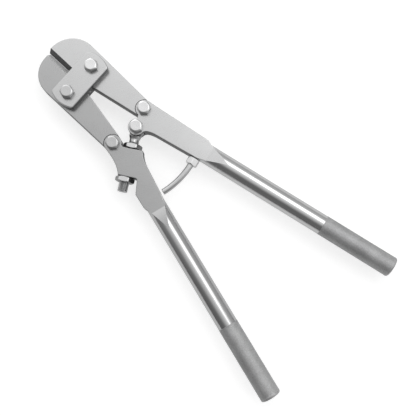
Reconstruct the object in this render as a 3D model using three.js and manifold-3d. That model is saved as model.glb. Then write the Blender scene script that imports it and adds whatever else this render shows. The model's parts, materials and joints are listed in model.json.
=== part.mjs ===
// Compound-action cutter for surgical pins and wire, lying on its back with its jaws closed.
// Millimetres. +X runs from the jaws to the grips, +Y towards the upper handle, +Z to the front.
// Each jaw and each handle is drawn about its own pivot, with y counted outwards, away from the
// cutting line: side is +1 for the upper one and -1 for the lower one.
import * as THREE from "three";
import { mergeVertices } from "three/addons/utils/BufferGeometryUtils.js";
import Module from "manifold-3d";

const wasm = await Module();
wasm.setup();

// Fits and facets
const GAP = 0.3;
const WELD_DISTANCE = 0.001;
const ARC_STEP = 9;
const BEND_STEPS = 6;
const ROUND_SEGMENTS = 32;
const OVERCUT = 2;

// Stack through the head of the tool, measured from its middle plane
const BODY_THICKNESS = 16;
const HALF_BODY = BODY_THICKNESS / 2;
const PLATE_THICKNESS = 8;
const TONGUE_HALF = 3.2;
const EDGE_CHAMFER = 0.8;

// Bolts
const PIN_RADIUS = 4.5;
const PIN_HOLE = PIN_RADIUS + GAP;
const BOLT_FLATS = 14.4;
const BOLT_HEAD_HEIGHT = 6;
const BOLT_NUT_HEIGHT = 5;
const BOLT_END = 1.2;

// Clamp plates: the jaw pivots sit this far from the middle, on a line skewed to the cutting line
const PIVOT_REACH = 20.8;
const CLAMP_SKEW = 3;
const FRONT_CLAMP_HALF_WIDTH = 16.3;
const REAR_CLAMP_HALF_WIDTH = 10.8;
const CLAMP_CORNER_REACH = 31.4;
const CLAMP_END_RADIUS = 32;
const CLAMP_CORNER_RADIUS = 2.2;

// Jaws
const JAW_FRONT = -54.7;
const UPPER_JAW_NOSE = { x: -22.3, y: -13.2, radius: 32.4 };
const LOWER_JAW_NOSE = { x: -23.3, y: -13.6, radius: 30 };
const JAW_TAIL = { x: 78.1, y: 6.6 };
const TAIL_TAPER = 1.6;
const TONGUE_RADIUS = 9.6;
const TONGUE_SWEEP = 80;
const SHOULDER_RADIUS = 10.9;
const HEEL_END = 13;
const HEEL_RELIEF = 7;
const NOTCH_WALL_TOP = -16.6;
const CUTTING_BEVEL_WIDTH = 4.9;
const CUTTING_BEVEL_END = -15;
const CUTTING_EDGE_LAND = 0.15;

// Handle heads
const HUB_RADIUS = 10.4;
const SLOT_HALF = TONGUE_HALF + GAP;
const SLOT_RADIUS = 10.8;
const HEAD_END = 84;
const HEAD_OUTER_AT_END = 7.7;
const HEAD_INNER_AT_END = -17.5;
const HEAD_TIP = { x: 100, outer: 1, inner: -12.5 };
const HEAD_RUNOUT = { along: 9, across: 1 };
const HUB_START = 75;
const HUB_END = 260;
const LOBE_START = 118;
const LOBE_END = 348;
const THROAT_BEND = { along: 1.5, y: -19.9 };
const THROAT = { x: 30, y: -19.3 };
const UPPER_HANDLE_ANGLE = 11;
const LOWER_HANDLE_ANGLE = -15.4;

// Shanks and grips
const SHANK_OFFSET = -5.6;
const SHANK_RADIUS = 11.75;
const SHANK_START = 70;
const GRIP_START = 246;
const GRIP_RADIUS = 12;
const HANDLE_END = 337;
const END_ROUNDING = 1.2;
const TUBE_BORE = 8.6;
const TUBE_BORE_START = 130;
const PLUG_DEPTH = 12;
const RAMP_TOP = 120;
const RAMP_RADIUS = 100;

// Eyebolt, from its eye at the centre hinge down through the lower handle's block
const EYE_POSITION = { x: 85.7, y: 5.4 };
const EYE_RADIUS = 9.6;
const EYE_PLAY = 1.2;
const EYE_BORE = PIN_RADIUS + EYE_PLAY;
const LOBE_RADIUS = 10;
const EYEBOLT_ANGLE = -59;
const EYEBOLT_RADIUS = 6;
const EYEBOLT_LENGTH = 77;
const NECK_TOP_RADIUS = 7.2;
const NECK_WAIST_RADIUS = 5.6;
const NECK_END = 17;
const BLOCK_TOP = 26.2;
const BLOCK_BOTTOM = 59.4;
const BLOCK_INNER_WIDTH = 13.8;
const BLOCK_OUTER_WIDTH = 8.2;
const BLOCK_TOP_OUTER_WIDTH = 10.4;
const BLOCK_HUB_END = 312;
const BLOCK_CORNER = { along: 1.2, across: 0.6 };
const BLOCK_SHOULDER = { x: 33, y: -21.2 };
const BLOCK_SHOULDER_END = { x: 42, y: -20.2 };
const BLOCK_FLANK_BEND = { x: 24, y: 7.4 };
const BLOCK_FLANK_END = { x: 3, y: 10.2 };
const NOTCH_END = { x: 66, y: 8 };
const NOTCH_WIDENING = 0.6;
const NOTCH_ROUNDING = 1.8;
const THIN_NUT_FLATS = 20.2;
const THIN_NUT_HEIGHT = 6.2;

// Stop rod, set in the upper handle's inner edge
const STOP_X = 80.8;
const STOP_RADIUS = 3.6;
const STOP_SOCKET = -11;
const STOP_STRAIGHT_END = -28.2;
const STOP_BEND_RADIUS = 97;
const STOP_TURN = 26;
const STOP_COLLAR_TOP = -18;
const STOP_COLLAR_HEIGHT = 8.6;
const STOP_COLLAR_FLATS = 13.2;

const degrees = THREE.MathUtils.degToRad;
const point = (x, y) => new THREE.Vector2(x, y);
const HUB = point(0, 0);
const onCircle = (centre, radius, angle) =>
  point(centre.x + radius * Math.cos(degrees(angle)), centre.y + radius * Math.sin(degrees(angle)));

// ---- outlines ------------------------------------------------------------------------------

function arc(centre, radius, from, to) {
  const steps = Math.max(2, Math.ceil(Math.abs(to - from) / ARC_STEP));
  const step = (to - from) / steps;
  return Array.from({ length: steps + 1 }, (_, i) => onCircle(centre, radius, from + step * i));
}

function bend(start, control, end) {
  const curve = new THREE.QuadraticBezierCurve(start, point(control.x, control.y), point(end.x, end.y));
  return curve.getPoints(BEND_STEPS);
}

function outline(side, ...stretches) {
  const points = stretches.flat().map((p) => point(p.x, side * p.y));
  const distinct = points.filter((p, i) => p.distanceTo(points[(i + 1) % points.length]) > WELD_DISTANCE);
  return new THREE.Shape(distinct);
}

// ---- solids --------------------------------------------------------------------------------

function solid(geometry) {
  const bare = geometry.clone();
  bare.deleteAttribute("normal");
  bare.deleteAttribute("uv");
  const welded = mergeVertices(bare, WELD_DISTANCE);
  return new wasm.Manifold(
    new wasm.Mesh({
      numProp: 3,
      vertProperties: new Float32Array(welded.attributes.position.array),
      triVerts: new Uint32Array(welded.index.array),
    }),
  );
}

// A flat piece between two heights, with its edges broken all round.
function slab(shape, low, high, chamfer = 0) {
  const geometry = new THREE.ExtrudeGeometry(shape, {
    depth: high - low - 2 * chamfer,
    bevelEnabled: chamfer > 0,
    bevelThickness: chamfer,
    bevelSize: chamfer,
    bevelOffset: -chamfer,
    bevelSegments: 1,
  });
  return solid(geometry.translate(0, 0, low + chamfer));
}

// A round bar or cutter along Z.
function bar(radius, low, high, centre = { x: 0, y: 0 }) {
  const geometry = new THREE.CylinderGeometry(radius, radius, high - low, ROUND_SEGMENTS);
  geometry.rotateX(Math.PI / 2);
  return solid(geometry.translate(centre.x, centre.y, (low + high) / 2));
}

// A body turned about Z from [radius, height] pairs that start and end on the axis.
function turned(profile) {
  const geometry = new THREE.LatheGeometry(profile.map(([r, z]) => point(r, z)), ROUND_SEGMENTS);
  return geometry.rotateX(Math.PI / 2);
}

// The same, turned about X.
function turnedAlongX(profile) {
  const geometry = new THREE.LatheGeometry(profile.map(([r, x]) => point(r, x)), ROUND_SEGMENTS);
  return geometry.rotateZ(-Math.PI / 2);
}

// A hexagon along Z with its top corners, and if asked its bottom ones, turned off to a cone.
function hexagon(flats, low, high, chamferBottom = false) {
  const corner = flats / Math.sqrt(3);
  const prism = new THREE.CylinderGeometry(corner, corner, high - low, 6);
  prism.rotateX(Math.PI / 2).translate(0, 0, (low + high) / 2);
  const fullRadius = corner + OVERCUT;
  const drop = (fullRadius - flats / 2 + EDGE_CHAMFER) * Math.tan(degrees(30));
  const top = [[fullRadius, high - drop], [flats / 2 - EDGE_CHAMFER, high], [0, high]];
  const bottom = chamferBottom
    ? [[0, low], [flats / 2 - EDGE_CHAMFER, low], [fullRadius, low + drop]]
    : [[0, low], [fullRadius, low]];
  return solid(prism).intersect(solid(turned([...bottom, ...top])));
}

// ---- fasteners -----------------------------------------------------------------------------

function bolt(stackHalf) {
  const headBase = stackHalf + GAP;
  const end = -(stackHalf + GAP + BOLT_NUT_HEIGHT + BOLT_END);
  const shaft = turned([
    [0, end],
    [PIN_RADIUS - EDGE_CHAMFER, end],
    [PIN_RADIUS, end + EDGE_CHAMFER],
    [PIN_RADIUS, headBase + OVERCUT],
    [0, headBase + OVERCUT],
  ]);
  return hexagon(BOLT_FLATS, headBase, headBase + BOLT_HEAD_HEIGHT).add(solid(shaft));
}

function nut(flats, height, low, holeRadius) {
  const body = hexagon(flats, low, low + height, true);
  return body.subtract(bar(holeRadius, low - OVERCUT, low + height + OVERCUT));
}

function boltNut(stackHalf) {
  return nut(BOLT_FLATS, BOLT_NUT_HEIGHT, -(stackHalf + GAP + BOLT_NUT_HEIGHT), PIN_HOLE);
}

// ---- clamp plates --------------------------------------------------------------------------

function clampOutline(halfWidth) {
  const sagitta = CLAMP_END_RADIUS - Math.sqrt(CLAMP_END_RADIUS ** 2 - halfWidth ** 2);
  const endCentre = point(0, CLAMP_CORNER_REACH + sagitta - CLAMP_END_RADIUS);
  const cornerAngle = THREE.MathUtils.radToDeg(Math.acos(halfWidth / CLAMP_END_RADIUS));
  const cornerTurn = THREE.MathUtils.radToDeg(CLAMP_CORNER_RADIUS / CLAMP_END_RADIUS);
  const corner = point(halfWidth, CLAMP_CORNER_REACH);
  const below = point(halfWidth, CLAMP_CORNER_REACH - CLAMP_CORNER_RADIUS);
  const start = onCircle(endCentre, CLAMP_END_RADIUS, cornerAngle + cornerTurn);
  const end = arc(endCentre, CLAMP_END_RADIUS, cornerAngle + cornerTurn, 180 - cornerAngle - cornerTurn);
  const right = bend(below, corner, start);
  const left = right.map((p) => point(-p.x, p.y)).reverse();
  const half = [...right, ...end, ...left];
  const otherHalf = half.map((p) => point(-p.x, -p.y));
  return outline(1, half, otherHalf);
}

function clampPlate(halfWidth, low) {
  const holeCentres = [1, -1].map((side) => point(0, side * PIVOT_REACH));
  const plate = slab(clampOutline(halfWidth), low, low + PLATE_THICKNESS, EDGE_CHAMFER);
  return holeCentres.reduce(
    (body, centre) => body.subtract(bar(PIN_HOLE, low - OVERCUT, low + PLATE_THICKNESS + OVERCUT, centre)),
    plate,
  );
}

// ---- jaws ----------------------------------------------------------------------------------

const CUTTING_LINE = GAP / 2 - PIVOT_REACH * Math.cos(degrees(CLAMP_SKEW));

function jawOutline(side) {
  const nose = side > 0 ? UPPER_JAW_NOSE : LOWER_JAW_NOSE;
  const relief = CUTTING_LINE + HEEL_END * Math.tan(degrees(HEEL_RELIEF));
  return outline(
    side,
    [point(JAW_FRONT, CUTTING_LINE), point(0, CUTTING_LINE), point(HEEL_END, relief)],
    [point(HEEL_END, NOTCH_WALL_TOP), point(JAW_TAIL.x - TAIL_TAPER, JAW_TAIL.y - SHOULDER_RADIUS)],
    arc(JAW_TAIL, TONGUE_RADIUS, -TONGUE_SWEEP, TONGUE_SWEEP),
    arc(nose, nose.radius, 90, 180),
  );
}

// The bevel that turns one face of a jaw down to the cutting edge in the middle of its thickness.
function cuttingBevel(side, face) {
  const profile = new THREE.Shape([
    point(side * (CUTTING_LINE - OVERCUT), face * CUTTING_EDGE_LAND),
    point(side * CUTTING_LINE, face * CUTTING_EDGE_LAND),
    point(side * (CUTTING_LINE + CUTTING_BEVEL_WIDTH), face * HALF_BODY),
    point(side * (CUTTING_LINE + CUTTING_BEVEL_WIDTH), face * (HALF_BODY + OVERCUT)),
    point(side * (CUTTING_LINE - OVERCUT), face * (HALF_BODY + OVERCUT)),
  ]);
  const start = JAW_FRONT - OVERCUT;
  const depth = CUTTING_BEVEL_END - start;
  const geometry = new THREE.ExtrudeGeometry(profile, { depth, bevelEnabled: false });
  const [x, y, z] = [new THREE.Vector3(1, 0, 0), new THREE.Vector3(0, 1, 0), new THREE.Vector3(0, 0, 1)];
  geometry.applyMatrix4(new THREE.Matrix4().makeBasis(y, z, x));
  return solid(geometry.translate(start, 0, 0));
}

function jaw(side) {
  const tail = point(JAW_TAIL.x, side * JAW_TAIL.y);
  const blank = slab(jawOutline(side), -HALF_BODY, HALF_BODY, EDGE_CHAMFER);
  return blank
    .subtract(cuttingBevel(side, 1))
    .subtract(cuttingBevel(side, -1))
    .subtract(bar(SHOULDER_RADIUS, TONGUE_HALF, HALF_BODY + OVERCUT, tail))
    .subtract(bar(SHOULDER_RADIUS, -HALF_BODY - OVERCUT, -TONGUE_HALF, tail))
    .subtract(bar(PIN_HOLE, -HALF_BODY - OVERCUT, HALF_BODY + OVERCUT))
    .subtract(bar(PIN_HOLE, -HALF_BODY - OVERCUT, HALF_BODY + OVERCUT, tail));
}

// ---- handles -------------------------------------------------------------------------------

const pivots = {
  1: pivotsOf(1),
  "-1": pivotsOf(-1),
};

function pivotsOf(side) {
  const skew = degrees(CLAMP_SKEW);
  const jawPivot = point(-side * PIVOT_REACH * Math.sin(skew), side * PIVOT_REACH * Math.cos(skew));
  return { jaw: jawPivot, handle: point(jawPivot.x + JAW_TAIL.x, jawPivot.y + side * JAW_TAIL.y) };
}

function handleAngle(side) {
  return side > 0 ? UPPER_HANDLE_ANGLE : LOWER_HANDLE_ANGLE;
}

// A point of the tool's plane in the frame of one handle, with y outwards.
function inHandle(side, place) {
  const local = point(place.x, place.y).sub(pivots[side].handle);
  local.rotateAround(point(0, 0), -degrees(handleAngle(side)));
  return point(local.x, side * local.y);
}

// The outer edge back to the hub, and the end of the head that is buried in the shank.
function headTip() {
  const outer = point(HEAD_TIP.x, HEAD_TIP.outer);
  const inner = point(HEAD_TIP.x, HEAD_TIP.inner);
  const { along, across } = HEAD_RUNOUT;
  return [
    ...bend(point(HEAD_END, HEAD_INNER_AT_END), point(HEAD_END + along, HEAD_INNER_AT_END + across), inner),
    ...bend(outer, point(HEAD_END + along, HEAD_OUTER_AT_END - across), point(HEAD_END, HEAD_OUTER_AT_END)),
  ];
}

function upperHeadOutline() {
  const lobe = inHandle(1, EYE_POSITION);
  const lobeEnd = onCircle(lobe, LOBE_RADIUS, LOBE_END);
  return outline(
    1,
    arc(HUB, HUB_RADIUS, HUB_START, HUB_END),
    arc(lobe, LOBE_RADIUS, LOBE_START, LOBE_END),
    bend(lobeEnd, point(lobeEnd.x + THROAT_BEND.along, THROAT_BEND.y), THROAT),
    headTip(),
  );
}

// The lower handle's head carries the block that the eyebolt runs through.
function lowerHeadOutline() {
  const topCorner = onBlock(BLOCK_TOP, BLOCK_INNER_WIDTH);
  const belowCorner = point(topCorner.x + BLOCK_CORNER.along, topCorner.y + BLOCK_CORNER.across);
  const notchCorner = onBlock(BLOCK_BOTTOM, BLOCK_INNER_WIDTH + NOTCH_WIDENING);
  const notchSide = point(notchCorner.x + NOTCH_ROUNDING, notchCorner.y + NOTCH_ROUNDING / 2);
  return outline(
    -1,
    arc(HUB, HUB_RADIUS, HUB_START, BLOCK_HUB_END),
    [onBlock(BLOCK_TOP, -BLOCK_TOP_OUTER_WIDTH), topCorner],
    bend(belowCorner, BLOCK_SHOULDER, BLOCK_SHOULDER_END),
    headTip(),
    [NOTCH_END],
    bend(notchSide, notchCorner, onBlock(BLOCK_BOTTOM, BLOCK_INNER_WIDTH - NOTCH_ROUNDING)),
    bend(onBlock(BLOCK_BOTTOM, -BLOCK_OUTER_WIDTH), BLOCK_FLANK_BEND, BLOCK_FLANK_END),
  );
}

// A point of the block, measured along the eyebolt from its eye and across it towards the tool's axis.
function onBlock(along, across) {
  const { eye, direction } = eyeboltInLowerHandle();
  return point(
    eye.x + along * direction.x + across * direction.y,
    eye.y + along * direction.y - across * direction.x,
  );
}

function eyeboltInLowerHandle() {
  const eye = inHandle(-1, EYE_POSITION);
  const angle = degrees(EYEBOLT_ANGLE - LOWER_HANDLE_ANGLE);
  return { eye, direction: point(Math.cos(angle), -Math.sin(angle)) };
}

// The front and back of the shank are milled flat towards the head and run out in a long curve.
function flatsEnvelope(side) {
  const rampStart = RAMP_TOP - Math.sqrt(2 * RAMP_RADIUS * (SHANK_RADIUS - HALF_BODY));
  const rampHeight = (x) => SHANK_RADIUS - (RAMP_TOP - x) ** 2 / (2 * RAMP_RADIUS);
  const ramp = Array.from({ length: BEND_STEPS + 1 }, (_, i) => {
    const x = rampStart + ((RAMP_TOP - rampStart) * i) / BEND_STEPS;
    return point(x, rampHeight(x));
  });
  const far = HANDLE_END + OVERCUT;
  const front = [point(SHANK_START - OVERCUT, HALF_BODY), ...ramp, point(RAMP_TOP, far), point(far, far)];
  const back = front.map((p) => point(p.x, -p.y)).reverse();
  const width = 4 * SHANK_RADIUS;
  const geometry = new THREE.ExtrudeGeometry(new THREE.Shape([...front, ...back]), {
    depth: width,
    bevelEnabled: false,
  });
  geometry.rotateX(Math.PI / 2);
  return solid(geometry.translate(0, side * SHANK_OFFSET + width / 2, 0));
}

function shank(side) {
  const tube = turnedAlongX([
    [0, SHANK_START],
    [SHANK_RADIUS, SHANK_START],
    [SHANK_RADIUS, GRIP_START],
    [GRIP_RADIUS, GRIP_START + EDGE_CHAMFER],
    [GRIP_RADIUS, HANDLE_END - END_ROUNDING],
    [GRIP_RADIUS - END_ROUNDING, HANDLE_END],
    [TUBE_BORE, HANDLE_END],
    [TUBE_BORE, TUBE_BORE_START],
    [0, TUBE_BORE_START - TUBE_BORE / 2],
  ]);
  return solid(tube.translate(0, side * SHANK_OFFSET, 0)).intersect(flatsEnvelope(side));
}

// The slot that takes the jaw's tongue, open towards the jaw.
function tongueSlot() {
  const reach = HUB_RADIUS + OVERCUT;
  const mouth = [point(0, -reach), point(0, reach), point(-reach, reach), point(-reach, -reach)];
  return bar(SLOT_RADIUS, -SLOT_HALF, SLOT_HALF).add(slab(new THREE.Shape(mouth), -SLOT_HALF, SLOT_HALF));
}

function handleBlank(side, headOutline) {
  const head = slab(headOutline, -HALF_BODY, HALF_BODY, EDGE_CHAMFER);
  return head
    .add(shank(side))
    .subtract(tongueSlot())
    .subtract(bar(PIN_HOLE, -HALF_BODY - OVERCUT, HALF_BODY + OVERCUT));
}

function upperHandle() {
  const lobe = inHandle(1, EYE_POSITION);
  const bore = STOP_RADIUS + GAP;
  const socket = new THREE.CylinderGeometry(bore, bore, 2 * HUB_RADIUS, ROUND_SEGMENTS);
  return handleBlank(1, upperHeadOutline())
    .subtract(bar(SLOT_RADIUS, -SLOT_HALF, SLOT_HALF, lobe))
    .subtract(bar(PIN_HOLE, -HALF_BODY - OVERCUT, HALF_BODY + OVERCUT, lobe))
    .subtract(solid(socket.translate(STOP_X, STOP_SOCKET - HUB_RADIUS + GAP, 0)));
}

function lowerHandle() {
  const { eye, direction } = eyeboltInLowerHandle();
  const holeLength = BLOCK_BOTTOM - BLOCK_TOP + 2 * OVERCUT;
  const middle = (BLOCK_TOP + BLOCK_BOTTOM) / 2;
  const bore = EYEBOLT_RADIUS + GAP;
  const hole = new THREE.CylinderGeometry(bore, bore, holeLength, ROUND_SEGMENTS);
  hole.rotateZ(Math.atan2(-direction.y, direction.x) - Math.PI / 2);
  hole.translate(eye.x + middle * direction.x, -(eye.y + middle * direction.y), 0);
  return handleBlank(-1, lowerHeadOutline()).subtract(solid(hole));
}

function endPlug(side) {
  const radius = TUBE_BORE - GAP;
  const plug = turnedAlongX([
    [0, HANDLE_END - PLUG_DEPTH],
    [radius - EDGE_CHAMFER, HANDLE_END - PLUG_DEPTH],
    [radius, HANDLE_END - PLUG_DEPTH + EDGE_CHAMFER],
    [radius, HANDLE_END],
    [0, HANDLE_END],
  ]);
  return solid(plug.translate(0, side * SHANK_OFFSET, 0));
}

// ---- eyebolt and its nuts, drawn from the eye along +X -------------------------------------

function eyebolt() {
  const rod = turnedAlongX([
    [0, 0],
    [NECK_TOP_RADIUS, 0],
    [NECK_TOP_RADIUS, EYE_RADIUS],
    [(NECK_TOP_RADIUS + NECK_WAIST_RADIUS) / 2, EYE_RADIUS + 3],
    [NECK_WAIST_RADIUS, NECK_END - EDGE_CHAMFER],
    [EYEBOLT_RADIUS, NECK_END],
    [EYEBOLT_RADIUS, EYEBOLT_LENGTH - EDGE_CHAMFER],
    [EYEBOLT_RADIUS - EDGE_CHAMFER, EYEBOLT_LENGTH],
    [0, EYEBOLT_LENGTH],
  ]);
  const clear = LOBE_RADIUS + EYE_PLAY;
  return solid(rod)
    .subtract(bar(clear, TONGUE_HALF, HALF_BODY + OVERCUT))
    .subtract(bar(clear, -HALF_BODY - OVERCUT, -TONGUE_HALF))
    .add(bar(EYE_RADIUS, -TONGUE_HALF, TONGUE_HALF))
    .subtract(bar(EYE_BORE, -HALF_BODY, HALF_BODY));
}

function thinNut() {
  return nut(THIN_NUT_FLATS, THIN_NUT_HEIGHT, 0, EYEBOLT_RADIUS + GAP);
}

// ---- stop rod, drawn in the upper handle's frame -------------------------------------------

function stopRod() {
  const bendCentre = point(STOP_X - STOP_BEND_RADIUS, STOP_STRAIGHT_END);
  const curved = arc(bendCentre, STOP_BEND_RADIUS, 0, -STOP_TURN);
  const route = [point(STOP_X, STOP_SOCKET), ...curved].map((p) => new THREE.Vector3(p.x, p.y, 0));
  const section = new THREE.Shape().absarc(0, 0, STOP_RADIUS, 0, 2 * Math.PI);
  return solid(
    new THREE.ExtrudeGeometry(section, {
      steps: 2 * BEND_STEPS,
      curveSegments: BEND_STEPS + 2,
      extrudePath: new THREE.CatmullRomCurve3(route),
    }),
  );
}

function stopCollar() {
  return nut(STOP_COLLAR_FLATS, STOP_COLLAR_HEIGHT, 0, STOP_RADIUS + GAP);
}

// ---- assembly ------------------------------------------------------------------------------

const steel = {
  ground: { color: 0xc4c6c8, roughness: 0.42, metalness: 1 },
  satin: { color: 0xb6b8ba, roughness: 0.34, metalness: 1 },
  polished: { color: 0xd2d4d6, roughness: 0.2, metalness: 1 },
};

function addPiece(parent, name, body, finish) {
  const { vertProperties, triVerts } = body.getMesh();
  const geometry = new THREE.BufferGeometry();
  geometry.setAttribute("position", new THREE.BufferAttribute(vertProperties, 3));
  geometry.setIndex(new THREE.BufferAttribute(triVerts, 1));
  const mesh = new THREE.Mesh(geometry, new THREE.MeshStandardMaterial(finish));
  mesh.name = name;
  parent.add(mesh);
  return mesh;
}

function addFrame(parent, place, angle = 0) {
  const frame = new THREE.Group();
  frame.position.set(place.x, place.y, 0);
  frame.rotation.z = degrees(angle);
  parent.add(frame);
  return frame;
}

function addBolt(parent, name, place, stackHalf, angle) {
  const frame = addFrame(parent, place, angle);
  addPiece(frame, `${name}_bolt`, bolt(stackHalf), steel.polished);
  addPiece(frame, `${name}_nut`, boltNut(stackHalf), steel.polished);
}

function addClamp(tool) {
  const outer = HALF_BODY + GAP;
  const rear = -outer - PLATE_THICKNESS;
  const clamp = addFrame(tool, point(0, 0), CLAMP_SKEW);
  addPiece(clamp, "front_clamp_plate", clampPlate(FRONT_CLAMP_HALF_WIDTH, outer), steel.ground);
  addPiece(clamp, "rear_clamp_plate", clampPlate(REAR_CLAMP_HALF_WIDTH, rear), steel.ground);
  addBolt(tool, "upper_jaw", pivots[1].jaw, outer + PLATE_THICKNESS, 43);
  addBolt(tool, "lower_jaw", pivots[-1].jaw, outer + PLATE_THICKNESS, 13);
}

function addJaw(tool, side, name) {
  addPiece(addFrame(tool, pivots[side].jaw), name, jaw(side), steel.ground);
}

function addUpperHandle(tool) {
  const frame = addFrame(tool, pivots[1].handle, UPPER_HANDLE_ANGLE);
  addPiece(frame, "upper_handle", upperHandle(), steel.satin);
  addPiece(frame, "upper_handle_end_plug", endPlug(1), steel.satin);
  addPiece(frame, "stop_rod", stopRod(), steel.satin);
  const collar = addPiece(frame, "stop_rod_collar", stopCollar(), steel.polished);
  collar.position.set(STOP_X, STOP_COLLAR_TOP, 0);
  collar.rotation.x = Math.PI / 2;
  addBolt(tool, "upper_handle", pivots[1].handle, HALF_BODY, 13);
  addBolt(tool, "centre_hinge", EYE_POSITION, HALF_BODY, 35);
}

function addLowerHandle(tool) {
  const frame = addFrame(tool, pivots[-1].handle, LOWER_HANDLE_ANGLE);
  addPiece(frame, "lower_handle", lowerHandle(), steel.satin);
  addPiece(frame, "lower_handle_end_plug", endPlug(-1), steel.satin);
  addBolt(tool, "lower_handle", pivots[-1].handle, HALF_BODY, 20);
}

function addEyebolt(tool) {
  const frame = addFrame(tool, EYE_POSITION, EYEBOLT_ANGLE);
  addPiece(frame, "eyebolt", eyebolt(), steel.satin);
  const upperNut = addPiece(frame, "eyebolt_upper_nut", thinNut(), steel.polished);
  upperNut.position.x = BLOCK_TOP - GAP - THIN_NUT_HEIGHT;
  const lowerNut = addPiece(frame, "eyebolt_lower_nut", thinNut(), steel.polished);
  lowerNut.position.x = BLOCK_BOTTOM + GAP;
  for (const thin of [upperNut, lowerNut]) {
    thin.rotation.y = Math.PI / 2;
  }
}

// The origin is the bottom centre of the box around the whole tool.
function standOnOrigin(tool) {
  const box = new THREE.Box3().setFromObject(tool, true);
  const centre = box.getCenter(new THREE.Vector3());
  tool.position.set(-centre.x, -centre.y, -box.min.z);
}

const tool = new THREE.Group();
addClamp(tool);
addJaw(tool, 1, "upper_jaw");
addJaw(tool, -1, "lower_jaw");
addUpperHandle(tool);
addLowerHandle(tool);
addEyebolt(tool);
standOnOrigin(tool);

const root = new THREE.Group();
root.add(tool);

export default root;
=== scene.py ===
"""Compound-action cutter for surgical pins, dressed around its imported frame.

Sizes in the classes are millimetres. Each piece is drawn in the plane of its own pivot, with x along
the piece, y counted outwards from the cutting line and z to the front, and is then set in the frame.
"""

import json
import logging
import math
from dataclasses import dataclass, replace
from enum import Enum
from typing import Callable, Sequence

import bmesh
import bpy
from mathutils import Matrix, Vector
from mathutils.geometry import tessellate_polygon


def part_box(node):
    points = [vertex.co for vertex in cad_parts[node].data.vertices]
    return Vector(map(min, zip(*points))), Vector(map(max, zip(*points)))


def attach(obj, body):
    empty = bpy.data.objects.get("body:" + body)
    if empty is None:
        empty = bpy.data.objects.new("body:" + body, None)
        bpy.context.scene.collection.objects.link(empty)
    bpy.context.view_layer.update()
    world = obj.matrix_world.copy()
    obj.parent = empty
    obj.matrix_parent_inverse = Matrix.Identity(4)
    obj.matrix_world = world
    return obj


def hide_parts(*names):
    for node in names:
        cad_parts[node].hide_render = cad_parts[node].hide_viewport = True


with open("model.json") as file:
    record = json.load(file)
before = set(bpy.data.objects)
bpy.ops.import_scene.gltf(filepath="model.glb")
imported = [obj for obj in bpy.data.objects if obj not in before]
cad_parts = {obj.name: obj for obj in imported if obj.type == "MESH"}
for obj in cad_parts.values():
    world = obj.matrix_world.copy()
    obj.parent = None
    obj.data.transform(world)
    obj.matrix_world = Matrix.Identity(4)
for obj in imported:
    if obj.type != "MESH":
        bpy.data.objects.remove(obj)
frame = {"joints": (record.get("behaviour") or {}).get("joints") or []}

LOG = logging.getLogger("pin_cutter")

MM = 0.001
FULL_TURN = 2 * math.pi
CLOUD_SCALE = 55.0
ARC_STEP = 3.0
BEND_STEPS = 14
SHARP_ANGLE = math.radians(28)
OVERCUT = 2.0
GAP = 0.3
SNUG = 0.1
HALF_BODY = 8.0
TONGUE_HALF = 3.2
PIN_RADIUS = 4.5
PIN_HOLE = PIN_RADIUS + GAP
BREAK = 0.5
SAME_PLACE = 1e-3
WELD = 1e-4
NARROWEST_CORNER = 0.35
WALL_STEEPNESS = 0.3
FLANK_STEEPNESS = 0.6
FINE_SEGMENTS = 144
ALONG_X = Matrix.Rotation(math.pi / 2, 4, "Y")
DOWNWARDS = Matrix.Rotation(math.pi / 2, 4, "X")

Point = tuple[float, float]
Outline = list[Point]
Radius = Callable[[float], float]
Turned = tuple[float | Radius, float | Radius]
Verts = Sequence[bmesh.types.BMVert]
Socket = bpy.types.NodeSocket


class Side(Enum):
    """The two halves of the tool, as seen with the jaws to the left and the bolt heads in front."""

    UPPER = 1
    LOWER = -1

    @property
    def label(self) -> str:
        """The half's name as the nodes and bodies spell it."""
        return self.name.lower()


# ---- drawing ---------------------------------------------------------------------------------


def on_circle(centre: Point, radius: float, angle: float) -> Point:
    """A point of a circle.

    Args:
        centre: The circle's centre.
        radius: Its radius.
        angle: Degrees, counter-clockwise from +x.

    Returns:
        The point.
    """
    turn = math.radians(angle)
    return (centre[0] + radius * math.cos(turn), centre[1] + radius * math.sin(turn))


def arc(centre: Point, radius: float, start: float, end: float) -> Outline:
    """A stretch of a circle in short chords.

    Args:
        centre: The circle's centre.
        radius: Its radius.
        start: The first angle in degrees.
        end: The last angle in degrees.

    Returns:
        The points from start to end.
    """
    steps = max(2, math.ceil(abs(end - start) / ARC_STEP))
    return [on_circle(centre, radius, start + (end - start) * i / steps) for i in range(steps + 1)]


def bend(start: Point, control: Point, end: Point) -> Outline:
    """A soft corner between two points.

    Args:
        start: Where the bend begins.
        control: The sharp corner that it rounds.
        end: Where the bend ends.

    Returns:
        The points along the bend.
    """
    points = []
    for i in range(BEND_STEPS + 1):
        t = i / BEND_STEPS
        weights = ((1 - t) ** 2, 2 * t * (1 - t), t * t)
        points.append(
            tuple(sum(w * p[axis] for w, p in zip(weights, (start, control, end))) for axis in (0, 1))
        )
    return points


def smooth(value: float) -> float:
    """A soft step from 0 to 1, held outside that range."""
    t = min(1.0, max(0.0, value))
    return t * t * (3 - 2 * t)


def without_doubles(outline: Outline, closed: bool = True) -> Outline:
    """The outline with points that lie on the one before them left out."""
    kept = [outline[0]]
    for place in outline[1:]:
        if math.dist(place, kept[-1]) > SAME_PLACE:
            kept.append(place)
    if closed and math.dist(kept[0], kept[-1]) <= SAME_PLACE:
        kept.pop()
    return kept


def signed_area(outline: Outline) -> float:
    """Twice the outline's area, positive when it runs counter-clockwise."""
    return sum(a[0] * b[1] - b[0] * a[1] for a, b in zip(outline, outline[1:] + outline[:1]))


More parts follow.
